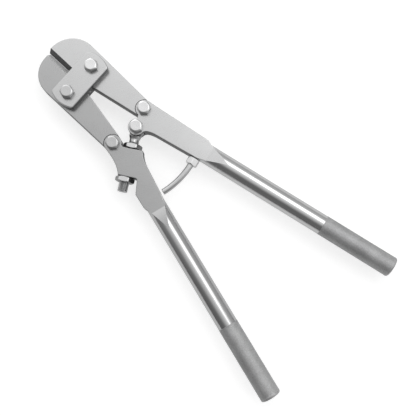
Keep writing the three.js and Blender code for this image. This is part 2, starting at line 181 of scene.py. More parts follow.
def inward_steps(outline: Outline, closed: bool) -> list[Vector]:
    """For each corner of a counter-clockwise outline, the step that sets both its edges in by 1.

    Args:
        outline: The corners.
        closed: Whether the last corner joins the first.

    Returns:
        One two-dimensional step for each corner.
    """
    count = len(outline)
    steps = []
    for i, place in enumerate(outline):
        normals = []
        for a, b in ((i - 1, i), (i, i + 1)):
            if not closed and (a < 0 or b >= count):
                continue
            edge = Vector(outline[b % count]) - Vector(outline[a % count])
            normals.append(Vector((-edge.y, edge.x)).normalized())
        if len(normals) == 1:
            steps.append(normals[0])
            continue
        middle = (normals[0] + normals[1]).normalized()
        steps.append(middle / max(NARROWEST_CORNER, middle.dot(normals[0])))
    return steps


@dataclass(frozen=True)
class Edge:
    """How the edge between a flat face and the side below it is broken.

    Attributes:
        size: Width and depth of the rounding.
        steps: Facets across it.
        support: Width of the flat row inside it, which keeps the face's shading flat.
    """

    size: float = 0.7
    steps: int = 4
    support: float = 0.25

    def levels(self, low: float, high: float) -> list[tuple[float, float]]:
        """Pairs of inset and height from the top face's edge down to the bottom face's."""
        turns = [math.pi / 2 * i / self.steps for i in range(self.steps + 1)]
        top = [(self.size * (1 - math.sin(a)), high - self.size * (1 - math.cos(a))) for a in turns]
        top.insert(0, (self.size + self.support, high))
        bottom = [(inset, low + high - height) for inset, height in reversed(top)]
        return top + bottom


# ---- meshes ----------------------------------------------------------------------------------


class Shell:
    """A closed mesh under construction, in millimetres and in a piece's own plane."""

    def __init__(self) -> None:
        """Starts empty."""
        self.bm = bmesh.new()

    def ring(self, points: Sequence[tuple[float, float, float]]) -> list[bmesh.types.BMVert]:
        """Adds a loop of vertices."""
        return [self.bm.verts.new(p) for p in points]

    def face(self, corners: Verts, material: int = 0) -> None:
        """Adds a face, unless two of its corners are the same vertex."""
        distinct = list(dict.fromkeys(corners))
        if len(distinct) > 2:
            made = self.bm.faces.new(distinct)
            made.material_index = material
            made.smooth = True

    def strip(
        self,
        first: Verts,
        second: Verts,
        closed: bool = True,
        material: int = 0,
    ) -> None:
        """Joins two loops of the same count with four-sided faces."""
        count = len(first)
        for i in range(count if closed else count - 1):
            j = (i + 1) % count
            self.face((first[i], first[j], second[j], second[i]), material)

    def fan(self, loop: Verts, material: int = 0) -> None:
        """Closes a loop with triangles to its middle."""
        centre = sum((v.co for v in loop), Vector()) / len(loop)
        middle = self.bm.verts.new(centre)
        for i, corner in enumerate(loop):
            self.face((corner, loop[(i + 1) % len(loop)], middle), material)

    def cap(self, loops: Sequence[Verts], material: int = 0) -> None:
        """Fills a flat outline, the first loop, around its holes, the other loops."""
        corners = [v for loop in loops for v in loop]
        flat = [[Vector((v.co.x, v.co.y, 0)) for v in loop] for loop in loops]
        for triangle in tessellate_polygon(flat):
            self.face([corners[i] for i in triangle], material)

    def add_slab(
        self, outline: Outline, low: float, high: float, edge: Edge, holes: Sequence[Outline] = ()
    ) -> None:
        """A flat piece with broken edges and round holes through it.

        Args:
            outline: Its outer corners.
            low: Height of its back face.
            high: Height of its front face.
            edge: How its edges are broken.
            holes: Outlines of the holes.
        """
        tops, bottoms = [], []
        for number, raw in enumerate([outline, *holes]):
            loop = without_doubles(raw)
            if (signed_area(loop) > 0) != (number == 0):
                loop.reverse()
            inward = inward_steps(loop, closed=True)
            rings = [
                self.ring([(p[0] + d.x * inset, p[1] + d.y * inset, z) for p, d in zip(loop, inward)])
                for inset, z in edge.levels(low, high)
            ]
            for above, below in zip(rings, rings[1:]):
                self.strip(above, below)
            tops.append(rings[0])
            bottoms.append(rings[-1])
        self.cap(tops)
        self.cap(bottoms)

    def add_turned(self, profile: Sequence[Turned], segments: int, ring_shaped: bool = False) -> None:
        """A body turned about z.

        Args:
            profile: Radius and height of each ring, as numbers or as functions of the angle.
            segments: Facets round it.
            ring_shaped: Whether the last ring joins the first, as in a nut. Otherwise both ends close.
        """
        rings = []
        for radius, height in profile:
            points = []
            for i in range(segments):
                a = FULL_TURN * i / segments
                r = radius(a) if callable(radius) else radius
                z = height(a) if callable(height) else height
                points.append((r * math.cos(a), r * math.sin(a), z))
            rings.append(self.ring(points))
        for lower, upper in zip(rings, rings[1:]):
            self.strip(lower, upper)
        if ring_shaped:
            self.strip(rings[-1], rings[0])
        else:
            self.fan(rings[0])
            self.fan(rings[-1])

    def moved(self, matrix: Matrix) -> "Shell":
        """The shell after a move."""
        self.bm.transform(matrix)
        return self

    def to_object(self, name: str, matrix: Matrix | None = None) -> bpy.types.Object:
        """The finished shell as an object at the origin.

        Args:
            name: The object's name.
            matrix: Its place, put into the mesh.

        Returns:
            The object, linked to the scene.
        """
        bmesh.ops.remove_doubles(self.bm, verts=self.bm.verts, dist=WELD)
        bmesh.ops.recalc_face_normals(self.bm, faces=self.bm.faces)
        mesh = bpy.data.meshes.new(name)
        if matrix is not None:
            self.bm.transform(matrix)
            if matrix.determinant() < 0:
                bmesh.ops.reverse_faces(self.bm, faces=self.bm.faces)
        self.bm.to_mesh(mesh)
        self.bm.free()
        return link(name, mesh)


def link(name: str, mesh: bpy.types.Mesh) -> bpy.types.Object:
    """A new object of a mesh, smooth except at its sharp edges."""
    mesh.shade_smooth()
    mesh.set_sharp_from_angle(angle=SHARP_ANGLE)
    made = bpy.data.objects.new(name, mesh)
    bpy.context.scene.collection.objects.link(made)
    return made


def settled(made: bpy.types.Object) -> bpy.types.Object:
    """The object with its modifiers worked into a plain mesh and then removed."""
    bpy.context.view_layer.update()
    shaped = made.evaluated_get(bpy.context.evaluated_depsgraph_get())
    mesh = bpy.data.meshes.new_from_object(shaped)
    mesh.name = made.name
    made.modifiers.clear()
    made.data = mesh
    mesh.shade_smooth()
    mesh.set_sharp_from_angle(angle=SHARP_ANGLE)
    return made


def machined(
    made: bpy.types.Object, cutters: Sequence[Shell], operation: str = "DIFFERENCE"
) -> bpy.types.Object:
    """A piece after other shells are cut from it or welded to it.

    Args:
        made: The piece, in its own plane.
        cutters: The shells, in the same plane.
        operation: DIFFERENCE or UNION.

    Returns:
        The same object with a plain mesh.
    """
    tools = [cutter.to_object(f"{made.name}_tool") for cutter in cutters]
    for tool in tools:
        step = made.modifiers.new("machining", "BOOLEAN")
        step.solver = "EXACT"
        step.operation = operation
        step.object = tool
    settled(made)
    for tool in tools:
        bpy.data.objects.remove(tool)
    return made


def placed(made: bpy.types.Object, matrix: Matrix) -> bpy.types.Object:
    """The object with its place put into its mesh."""
    made.data.transform(matrix)
    if matrix.determinant() < 0:
        made.data.flip_normals()
    made.data.update()
    return made


def cylinder(
    radius: float, low: float, high: float, centre: Point = (0.0, 0.0), segments: int = 96
) -> Shell:
    """A plain round cutter along z."""
    shell = Shell()
    shell.add_turned([(radius, low), (radius, high)], segments)
    return shell.moved(Matrix.Translation((centre[0], centre[1], 0)))


def prism(outline: Outline, low: float, high: float) -> Shell:
    """A plain cutter of any outline along z."""
    shell = Shell()
    loop = without_doubles(outline)
    top = shell.ring([(x, y, high) for x, y in loop])
    bottom = shell.ring([(x, y, low) for x, y in loop])
    shell.strip(top, bottom)
    shell.cap([top])
    shell.cap([bottom])
    return shell


# ---- hexagons --------------------------------------------------------------------------------


@dataclass(frozen=True)
class Hexagon:
    """A hexagonal head or nut, with its corners turned off to a cone.

    Attributes:
        flats: Width across the flats.
        corner_relief: How far the sharp corners are turned down.
        face_relief: How far the round face stays inside the flats.
        segments: Facets round it.
    """

    flats: float
    corner_relief: float = 0.25
    face_relief: float = 1.2
    segments: int = 96

    def radius(self, angle: float) -> float:
        """Distance from the axis to the side at an angle."""
        sixth = math.pi / 3
        from_flat = (angle + sixth / 2) % sixth - sixth / 2
        corner = self.flats / math.sqrt(3) - self.corner_relief
        return min(corner, self.flats / 2 / math.cos(from_flat))

    def drop(self, angle: float) -> float:
        """How far the cone has fallen at the side, at an angle."""
        return (self.radius(angle) - self.face_radius) * math.tan(math.radians(30))

    @property
    def face_radius(self) -> float:
        """Radius of the round face."""
        return self.flats / 2 - self.face_relief

    def side(self, height: float, upwards: int, share: float = 1.0) -> tuple[Radius, Radius]:
        """The ring where the cone meets the flats.

        Args:
            height: Height of the face.
            upwards: 1 for a face that looks up, -1 for one that looks down.
            share: Position down the cone, 1 at the flats.

        Returns:
            Radius and height as functions of the angle.
        """
        return (
            lambda a: self.face_radius + (self.radius(a) - self.face_radius) * share,
            lambda a: height - upwards * self.drop(a) * share**1.3,
        )

    def crown(self, height: float, upwards: int) -> list[Turned]:
        """Rings from the flats' end to the edge of the round face."""
        return [
            self.side(height, upwards),
            self.side(height, upwards, 0.6),
            self.side(height, upwards, 0.2),
            (self.face_radius - 0.1, height),
        ]


@dataclass(frozen=True)
class ThinNut:
    """A nut, drawn along z from zero.

    Attributes:
        hexagon: Its outside.
        height: Its height.
        hole: Radius of its bore.
    """

    hexagon: Hexagon
    height: float
    hole: float

    def shell(self) -> Shell:
        """The nut's closed shell."""
        made = Shell()
        lower = list(reversed(self.hexagon.crown(0.0, -1)))
        upper = self.hexagon.crown(self.height, 1)
        bore = [
            (self.hole + BREAK, self.height),
            (self.hole, self.height - BREAK),
            (self.hole, BREAK),
            (self.hole + BREAK, 0.0),
        ]
        made.add_turned([*lower, *upper, *bore], self.hexagon.segments, ring_shaped=True)
        return made


@dataclass(frozen=True)
class HexBolt:
    """One of the pivot bolts with its nut.

    Attributes:
        name: The pivot that it holds.
        half_stack: Half the thickness of what it clamps.
        turn: Degrees that its head is turned from the tool's axis.
        head: Its head's outside.
        head_height: Height of the head.
        nut_height: Height of the nut.
        end: How far the bolt stands out of its nut.
    """

    name: str
    half_stack: float
    turn: float
    head: Hexagon = Hexagon(14.4, corner_relief=0.1)
    head_height: float = 6.0
    nut_height: float = 5.0
    end: float = 1.2

    def bolt_shell(self) -> Shell:
        """Shaft and head as one closed shell."""
        made = Shell()
        base = self.half_stack + GAP
        top = base + self.head_height
        tip = -(base + self.nut_height + self.end)
        lead = 0.8
        made.add_turned(
            [
                (PIN_RADIUS - lead - 0.3, tip),
                (PIN_RADIUS - lead, tip),
                (PIN_RADIUS, tip + lead),
                (PIN_RADIUS, base),
                (self.head.face_radius, base),
                (self.head.radius, base + 0.2),
                *self.head.crown(top, 1),
                (self.head.face_radius - 0.6, top),
                (1.2, top - 0.05),
            ],
            self.head.segments,
        )
        return made

    def nut_shell(self) -> Shell:
        """The nut behind the stack."""
        nut = ThinNut(self.head, self.nut_height, PIN_HOLE)
        return nut.shell().moved(Matrix.Translation((0, 0, -(self.half_stack + GAP + self.nut_height))))


# ---- finishes, with darker copies for painted shade ------------------------------------------


class Grain(Enum):
    """How a surface was last worked."""

    GROUND = "straight fine lines from a belt"
    TURNED = "rings round an axis from a lathe"
    BLASTED = "even fine speckle"


class NodeSheet:
    """Adds and joins nodes of a shader or geometry tree."""

    def __init__(self, tree: bpy.types.NodeTree) -> None:
        """Starts on a tree."""
        self.tree = tree

    def add(self, kind: str, **settings: object) -> bpy.types.Node:
        """A new node.

        Args:
            kind: Blender's name for it.
            settings: Its own properties.

        Returns:
            The node.
        """
        node = self.tree.nodes.new(kind)
        for name, value in settings.items():
            setattr(node, name, value)
        return node

    def feed(self, node: bpy.types.Node, values: dict[str | int, object]) -> bpy.types.Node:
        """Sets a node's inputs, each from another node's output or from a value."""
        for key, value in values.items():
            if isinstance(value, Socket):
                self.tree.links.new(value, node.inputs[key])
            else:
                node.inputs[key].default_value = value
        return node

    def math(self, operation: str, *values: object) -> Socket:
        """The output of a Math node."""
        kind = "ShaderNodeMath"
        return self.feed(self.add(kind, operation=operation), dict(enumerate(values))).outputs[0]

    def spread(
        self, value: Socket, to: Point, taken_from: Point = (0.0, 1.0), step: str = "LINEAR"
    ) -> Socket:
        """A value laid out between two numbers.

        Args:
            value: The value.
            to: The numbers that it is laid out between.
            taken_from: The range that it comes from.
            step: How it runs from one to the other.

        Returns:
            The laid out value.
        """
        node = self.add("ShaderNodeMapRange", interpolation_type=step)
        ends = {"From Min": taken_from[0], "From Max": taken_from[1], "To Min": to[0], "To Max": to[1]}
        return self.feed(node, {"Value": value, **ends}).outputs[0]

    def noise(self, place: Socket, scale: float, detail: float) -> Socket:
        """A cloudy value from 0 to 1."""
        values = {"Vector": place, "Scale": scale, "Detail": detail}
        return self.feed(self.add("ShaderNodeTexNoise"), values).outputs["Fac"]

    def reach(self, first: Socket, second: Socket) -> Socket:
        """The distance from an axis, out of the two coordinates across it."""
        return self.math("SQRT", self.math("ADD", *(self.math("POWER", p, 2.0) for p in (first, second))))

    def lean(self, direction: Socket, axis: Vector) -> Socket:
        """How far a direction leans towards an axis, from -1 to 1."""
        node = self.add("ShaderNodeVectorMath", operation="DOT_PRODUCT")
        return self.feed(node, {0: direction, 1: axis}).outputs["Value"]


@dataclass(frozen=True)
class SteelFinish:
    """One finish of the stainless steel.

    Attributes:
        name: The finish, in the maker's words.
        tone: Its grey, as linear reflectance.
        roughness: Its middle roughness.
        spread: How far the roughness strays either way.
        mottling: How far the tone strays, as a share.
        grain: How it was last worked.
        grain_width: Width of one line or speck, in millimetres.
        grain_length: Length of one line.
        relief: Strength of the relief.
    """

    name: str
    tone: float
    roughness: float
    spread: float = 0.05
    mottling: float = 0.035
    grain: Grain = Grain.GROUND
    grain_width: float = 0.35
    grain_length: float = 14.0
    relief: float = 0.12

    def material(self, turn: float = 0.0, centre: Point = (0.0, 0.0)) -> bpy.types.Material:
        """The finish as a node material.

        Args:
            turn: Direction of its grain, in degrees from the tool's axis.
            centre: The lathe's axis for a turned finish, in millimetres in the frame.

        Returns:
            The material.
        """
        made = bpy.data.materials.new(self.name)
        made.use_nodes = True
        sheet = NodeSheet(made.node_tree)
        steel = made.node_tree.nodes["Principled BSDF"]
        place = sheet.feed(
            sheet.add("ShaderNodeMapping", vector_type="TEXTURE"),
            {
                "Vector": sheet.add("ShaderNodeTexCoord").outputs["Object"],
                "Location": (centre[0] * MM, centre[1] * MM, 0.0),
                "Rotation": (0.0, 0.0, math.radians(turn)),
            },
        ).outputs[0]
        fine = self.lines(sheet, place)
        clouds = sheet.noise(place, CLOUD_SCALE, 3.0)
        mix = sheet.math("MULTIPLY_ADD", fine, 0.6, sheet.math("MULTIPLY", clouds, 0.4))
        roughness = (self.roughness - self.spread, self.roughness + self.spread)
        darkest, lightest = self.tone * (1 - self.mottling), self.tone * (1 + self.mottling)
        ramp = sheet.feed(sheet.add("ShaderNodeValToRGB"), {"Fac": mix})
        for stop, position, grey in zip(ramp.color_ramp.elements, (0.32, 0.68), (darkest, lightest)):
            stop.position = position
            stop.color = (grey, grey * 1.003, grey * 1.006, 1.0)
        bump = sheet.feed(
            sheet.add("ShaderNodeBump"), {"Strength": self.relief, "Distance": 0.0001, "Height": fine}
        )
        sheet.feed(
            steel,
            {
                "Base Color": ramp.outputs[0],
                "Metallic": 1.0,
                "Roughness": sheet.spread(mix, roughness),
                "Normal": bump.outputs[0],
            },
        )
        return made

    def lines(self, sheet: NodeSheet, place: Socket) -> Socket:
        """The fine pattern of the grain, from 0 to 1."""
        across = 1 / (self.grain_width * MM)
        along = 1 / (self.grain_length * MM)
        if self.grain is Grain.BLASTED:
            return sheet.noise(place, across, 2.0)
        if self.grain is Grain.TURNED:
            parts = sheet.feed(sheet.add("ShaderNodeSeparateXYZ"), {0: place}).outputs
            ring = sheet.math("MULTIPLY", sheet.reach(parts[0], parts[1]), across)
            rings = sheet.feed(sheet.add("ShaderNodeCombineXYZ"), {0: ring})
            return sheet.noise(rings.outputs[0], 1.0, 2.0)
        stretched = sheet.feed(
            sheet.add("ShaderNodeMapping", vector_type="POINT"),
            {"Vector": place, "Scale": (along, across, across)},
        )
        return sheet.noise(stretched.outputs[0], 1.0, 3.0)


BRIGHT_GROUND = SteelFinish("bright_ground_steel", tone=0.60, roughness=0.28)
# A darker copy of the ground steel for the lower half: painted shade, as that half lies in dimmer
# reflections.
PAINTED_SHADE_GROUND = SteelFinish("painted_shade_ground_steel", tone=0.46, roughness=0.28)
# Near-black steel on the upper jaw's bevel: painted shade in the cutting groove.
SHADED_BEVEL = SteelFinish("shaded_bevel_steel", tone=0.10, roughness=0.34)
# A paler steel than the rest on the lower jaw's bevel: painted light in the cutting groove.
PAINTED_LIGHT_BEVEL = SteelFinish("painted_light_bevel_steel", tone=0.92, roughness=0.75)
PLATE_GROUND = SteelFinish("plate_ground_steel", tone=0.60, roughness=0.28)
# Dark steel on the pieces' steep walls: painted shade.
SHADED_WALL = SteelFinish("shaded_wall_steel", tone=0.15, roughness=0.4)
POLISHED_SHANK = SteelFinish(
    "polished_shank_steel",
    tone=0.70,
    roughness=0.17,
    spread=0.03,
    mottling=0.03,
    grain_length=60.0,
    relief=0.05,
)
# A darker copy of the polished steel for the lower shank: painted shade.
PAINTED_SHADE_SHANK = replace(POLISHED_SHANK, name="painted_shade_shank_steel", tone=0.60)
POLISHED_HEX = SteelFinish(
    "polished_hex_steel",
    tone=0.77,
    roughness=0.2,
    spread=0.04,
    grain=Grain.TURNED,
    grain_width=0.25,
    relief=0.1,
)
# A darker copy of the hex steel for the lower bolts: painted shade.
PAINTED_SHADE_HEX = replace(POLISHED_HEX, name="painted_shade_hex_steel", tone=0.60)
# A darker copy of the hex steel for the flanks of heads and nuts: painted shade.
PAINTED_SHADE_FLANK = replace(POLISHED_HEX, name="painted_shade_hex_flank_steel", tone=0.36, roughness=0.3)
KNURLED_GRIP = SteelFinish(
    "knurled_grip_steel",
    tone=0.54,
    roughness=0.58,
    mottling=0.22,
    grain=Grain.BLASTED,
    grain_width=1.1,
    relief=0.35,
)
DRAWN_ROD = SteelFinish(
    "drawn_rod_steel", tone=0.57, roughness=0.26, spread=0.04, grain_length=20.0, relief=0.08
)


# ---- rolled and cut patterns -----------------------------------------------------------------


class Pattern(Enum):
    """The grooves that a wheel or a die leaves round a bar."""

    DIAMOND = "two crossed sets of grooves"
    THREAD = "one helix"


@dataclass(frozen=True)
class GrooveTool:
    """Presses or cuts a pattern into a bar that lies along x.

    Attributes:
        pattern: Which grooves.
        starts: How many grooves stand round the bar.
        pitch: Distance along the bar from groove to groove, at one angle.
        depth: Depth of a groove.
        land: Share of the height that is left flat on top.
    """

    pattern: Pattern
    starts: int
    pitch: float
    depth: float
    land: float = 0.25

    INPUTS = ("Starts", "Pitch", "Depth", "Land", "First", "Last", "Axis Y")

    def tree(self, material: bpy.types.Material) -> bpy.types.NodeTree:
        """The geometry tree, which sets a turned bar's points in towards its axis.

        Args:
            material: What the bar is made of.

        Returns:
            The tree.
        """
        made = bpy.data.node_groups.new(f"{self.pattern.name.lower()}_grooves", "GeometryNodeTree")
        face = made.interface
        face.new_socket("Bar", in_out="INPUT", socket_type="NodeSocketGeometry")
        for name in self.INPUTS:
            face.new_socket(name, in_out="INPUT", socket_type="NodeSocketFloat")
        face.new_socket("Grooved Bar", in_out="OUTPUT", socket_type="NodeSocketGeometry")
        sheet = NodeSheet(made)
        given = sheet.add("NodeGroupInput").outputs
        place = sheet.feed(
            sheet.add("ShaderNodeSeparateXYZ"), {0: sheet.add("GeometryNodeInputPosition").outputs[0]}
        ).outputs
        across = sheet.math("SUBTRACT", place[1], given["Axis Y"])
        turn = sheet.math("DIVIDE", sheet.math("ARCTAN2", place[2], across), FULL_TURN)
        round_bar = sheet.math("MULTIPLY", turn, given["Starts"])
        along = sheet.math("DIVIDE", place[0], given["Pitch"])
        depth = self.groove(sheet, sheet.math("ADD", along, round_bar))
        if self.pattern is Pattern.DIAMOND:
            crossed = self.groove(sheet, sheet.math("SUBTRACT", along, round_bar))
            depth = sheet.math("MAXIMUM", depth, crossed)
        depth = sheet.math("MAXIMUM", depth, given["Land"])
        inside = sheet.math(
            "MULTIPLY",
            sheet.math("GREATER_THAN", place[0], given["First"]),
            sheet.math("LESS_THAN", place[0], given["Last"]),
        )
        fall = sheet.math("MULTIPLY", given["Depth"], sheet.math("MULTIPLY", depth, inside))
        share = sheet.math("DIVIDE", fall, sheet.reach(across, place[2]))
        inwards = sheet.math("MULTIPLY", share, -1.0)
        offset = sheet.feed(
            sheet.add("ShaderNodeCombineXYZ"),
            {1: sheet.math("MULTIPLY", across, inwards), 2: sheet.math("MULTIPLY", place[2], inwards)},
        )
        moved = sheet.feed(
            sheet.add("GeometryNodeSetPosition"), {"Geometry": given["Bar"], "Offset": offset.outputs[0]}
        )
        real = sheet.feed(sheet.add("GeometryNodeRealizeInstances"), {0: moved.outputs[0]})
        dressed = sheet.feed(
            sheet.add("GeometryNodeSetMaterial"), {"Geometry": real.outputs[0], "Material": material}
        )
        sheet.feed(sheet.add("NodeGroupOutput"), {0: dressed.outputs[0]})
        return made

    def groove(self, sheet: NodeSheet, turns: Socket) -> Socket:
        """How deep a straight-sided groove is, 1 at each whole turn and 0 halfway between."""
        part = sheet.math("FRACT", turns)
        return sheet.math("ABSOLUTE", sheet.math("SUBTRACT", sheet.math("MULTIPLY", part, 2.0), 1.0))

    def apply(
        self,
        bar: bpy.types.Object,
        material: bpy.types.Material,
        first: float,
        last: float,
        axis_y: float = 0.0,
    ) -> bpy.types.Object:
        """Works the pattern into a bar.

        Args:
            bar: A finely divided turned bar along x, in millimetres.
            material: What it is made of.
            first: Where the pattern begins.
            last: Where it ends.
            axis_y: Where the bar's axis lies.

        Returns:
            The bar, as a plain mesh.
        """
        step = bar.modifiers.new("grooves", "NODES")
        step.node_group = self.tree(material)
        values = (float(self.starts), self.pitch, self.depth, self.land, first, last, axis_y)
        sizes = dict(zip(self.INPUTS, values))
        for item in step.node_group.interface.items_tree:
            if item.in_out == "INPUT" and item.name in sizes:
                step[item.identifier] = sizes[item.name]
        return settled(bar)


KNURL = GrooveTool(Pattern.DIAMOND, starts=48, pitch=1.57, depth=0.42)
FINE_THREAD = GrooveTool(Pattern.THREAD, starts=1, pitch=1.0, depth=0.5, land=0.12)


# ---- places ----------------------------------------------------------------------------------


@dataclass(frozen=True)
class Layout:
    """Where the pivots stand in the frame, in millimetres.

    Attributes:
        pivots: Each bolt's axis.
        height: Height of the tool's middle plane.
    """

    pivots: dict[str, Point]
    height: float

    @classmethod
    def of_frame(cls) -> "Layout":
        """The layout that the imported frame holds."""
        pivots = {}
        for name in ("upper_jaw", "lower_jaw", "upper_handle", "lower_handle", "centre_hinge"):
            low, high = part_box(f"{name}_bolt")
            middle = (low + high) / 2 / MM
            pivots[name] = (middle.x, middle.y)
        return cls(pivots, frame["joints"][0]["pos_m"][2] / MM)

    @property
    def middle(self) -> Point:
        """The point halfway between the jaws' pivots."""
        upper, lower = self.pivots["upper_jaw"], self.pivots["lower_jaw"]
        return ((upper[0] + lower[0]) / 2, (upper[1] + lower[1]) / 2)

    def place(self, at: Point, angle: float = 0.0, side: Side = Side.UPPER) -> Matrix:
        """The move from a piece's own plane to the frame.

        Args:
            at: The piece's own origin.
            angle: Its turn in degrees.
            side: The half of the tool. The lower half's y is mirrored.

        Returns:
            The matrix, which also turns millimetres to metres.
        """
        spot = Matrix.Translation(Vector((at[0], at[1], self.height)) * MM)
        turn = Matrix.Rotation(math.radians(angle), 4, "Z")
        return spot @ turn @ Matrix.Diagonal((MM, side.value * MM, MM, 1.0))


def number_walls(made: bpy.types.Object, number: int, steepest: float = WALL_STEEPNESS) -> None:
    """Gives a piece's steep walls their own material number, for a darker steel there: painted shade.

    Args:
        made: The piece.
        number: The walls' number.
        steepest: How far a wall's normal may rise from the tool's plane.
    """
    for face in made.data.polygons:
        if face.material_index == 0 and abs(face.normal.z) < steepest:
            face.material_index = number


def finish_piece(
    made: bpy.types.Object,
    body: str,
    nodes: Sequence[str],
    materials: Sequence[bpy.types.Material],
) -> bpy.types.Object:
    """Dresses a finished piece and hands it to the frame.

    Args:
        made: The piece, in place.
        body: The body that it rides on.
        nodes: The solids that it stands for.
        materials: Its materials, in the order of its faces' numbers.

    Returns:
        The piece.
    """
    numbers = [face.material_index for face in made.data.polygons]
    made.data.materials.clear()
    for material in materials:
        made.data.materials.append(material)
    made.data.polygons.foreach_set("material_index", numbers)
    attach(made, body)
    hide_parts(*nodes)
    LOG.info("%s rides on %s, %d faces", made.name, body, len(made.data.polygons))
    return made


# ---- fasteners -------------------------------------------------------------------------------


@dataclass(frozen=True)
class Fasteners:
    """The five pivot bolts and their nuts.

    Attributes:
        layout: Where the pivots stand.
        clamp_half_stack: Half the thickness that a jaw bolt clamps.
    """

    layout: Layout
    clamp_half_stack: float = 16.3

    def bolts(self) -> list[tuple[HexBolt, str]]:
        """Each bolt with the body that it rides on."""
        upper, lower = "upper_handle_body", "lower_handle_body"
        return [
            (HexBolt("upper_jaw", self.clamp_half_stack, 43), "clamp"),
            (HexBolt("lower_jaw", self.clamp_half_stack, 13), "clamp"),
            (HexBolt("upper_handle", HALF_BODY, 13), upper),
            (HexBolt("centre_hinge", HALF_BODY, 35), upper),
            (HexBolt("lower_handle", HALF_BODY, 20), lower),
        ]

    def build(self) -> None:
        """Makes, dresses and places every bolt and nut."""
        for bolt, body in self.bolts():
            centre = self.layout.pivots[bolt.name]
            place = self.layout.place(centre, bolt.turn)
            # The lower bolts take a darker copy of the hex steel and every flank a darker one still:
            # painted shade.
            finish = PAINTED_SHADE_HEX if bolt.name.startswith("lower") else POLISHED_HEX
            steels = [finish.material(centre=centre), PAINTED_SHADE_FLANK.material(centre=centre)]
            for label, shell in (("bolt", bolt.bolt_shell()), ("nut", bolt.nut_shell())):
                node = f"{bolt.name}_{label}"
                made = shell.to_object(f"{node}_piece", place)
                number_walls(made, 1, FLANK_STEEPNESS)
                finish_piece(made, body, [node], steels)


# ---- clamp -----------------------------------------------------------------------------------


@dataclass(frozen=True)
class Clamp:
    """The two plates that hold the jaws' pivots apart.

    Attributes:
        layout: Where the pivots stand.
        skew: Degrees that the pivots' line leans from square to the cutting line.
        reach: From the middle to a pivot.
        front_half_width: Half of the front plate's width.
        rear_half_width: Half of the rear plate's width.
        corner_reach: From the middle to its corners.
        end_radius: Radius of its round ends.
        corner: Length of its rounded corners.
        thickness: A plate's thickness.
        gap: From the jaws' faces to a plate.
        edge: How its edges are broken.
        grain: Direction of the grinding, from its own width.
    """

    layout: Layout
    skew: float = 3.0
    reach: float = 20.8
    front_half_width: float = 16.3
    rear_half_width: float = 10.8
    corner_reach: float = 31.4
    end_radius: float = 32.0
    corner: float = 2.2
    thickness: float = 8.0
    gap: float = GAP
    edge: Edge = Edge(1.3, 6)
    grain: float = 62.0

    def outline(self, half_width: float) -> Outline:
        """A plate's outline, straight at the sides and round at the ends.

        Args:
            half_width: Half of its width.

        Returns:
            The outline round the clamp's middle.
        """
        sagitta = self.end_radius - math.sqrt(self.end_radius**2 - half_width**2)
        centre = (0.0, self.corner_reach + sagitta - self.end_radius)
        lean = math.degrees(math.acos(half_width / self.end_radius))
        lean += math.degrees(self.corner / self.end_radius)
        below = (half_width, self.corner_reach - self.corner)
        tip = (half_width, self.corner_reach)
        right = bend(below, tip, on_circle(centre, self.end_radius, lean))
        left = [(-x, y) for x, y in reversed(right)]
        half = [*right, *arc(centre, self.end_radius, lean, 180 - lean), *left]
        return [*half, *((-x, -y) for x, y in half)]

    def build(self) -> None:
        """Makes, dresses and places both plates."""
        start = HALF_BODY + self.gap
        holes = [arc((0.0, y), PIN_HOLE, 0, 360) for y in (self.reach, -self.reach)]
        place = self.layout.place(self.layout.middle, self.skew)
        # The plates' steep walls take the dark wall steel: painted shade.
        steels = [PLATE_GROUND.material(turn=self.skew + self.grain), SHADED_WALL.material()]
        front = ("front", self.front_half_width, start)
        rear = ("rear", self.rear_half_width, -start - self.thickness)
        for label, half_width, low in (front, rear):
            shell = Shell()
            shell.add_slab(self.outline(half_width), low, low + self.thickness, self.edge, holes)
            made = shell.to_object(f"{label}_plate_piece", place)
            number_walls(made, 1)
            finish_piece(made, "clamp", [f"{label}_clamp_plate"], steels)


# ---- jaws ------------------------------------------------------------------------------------


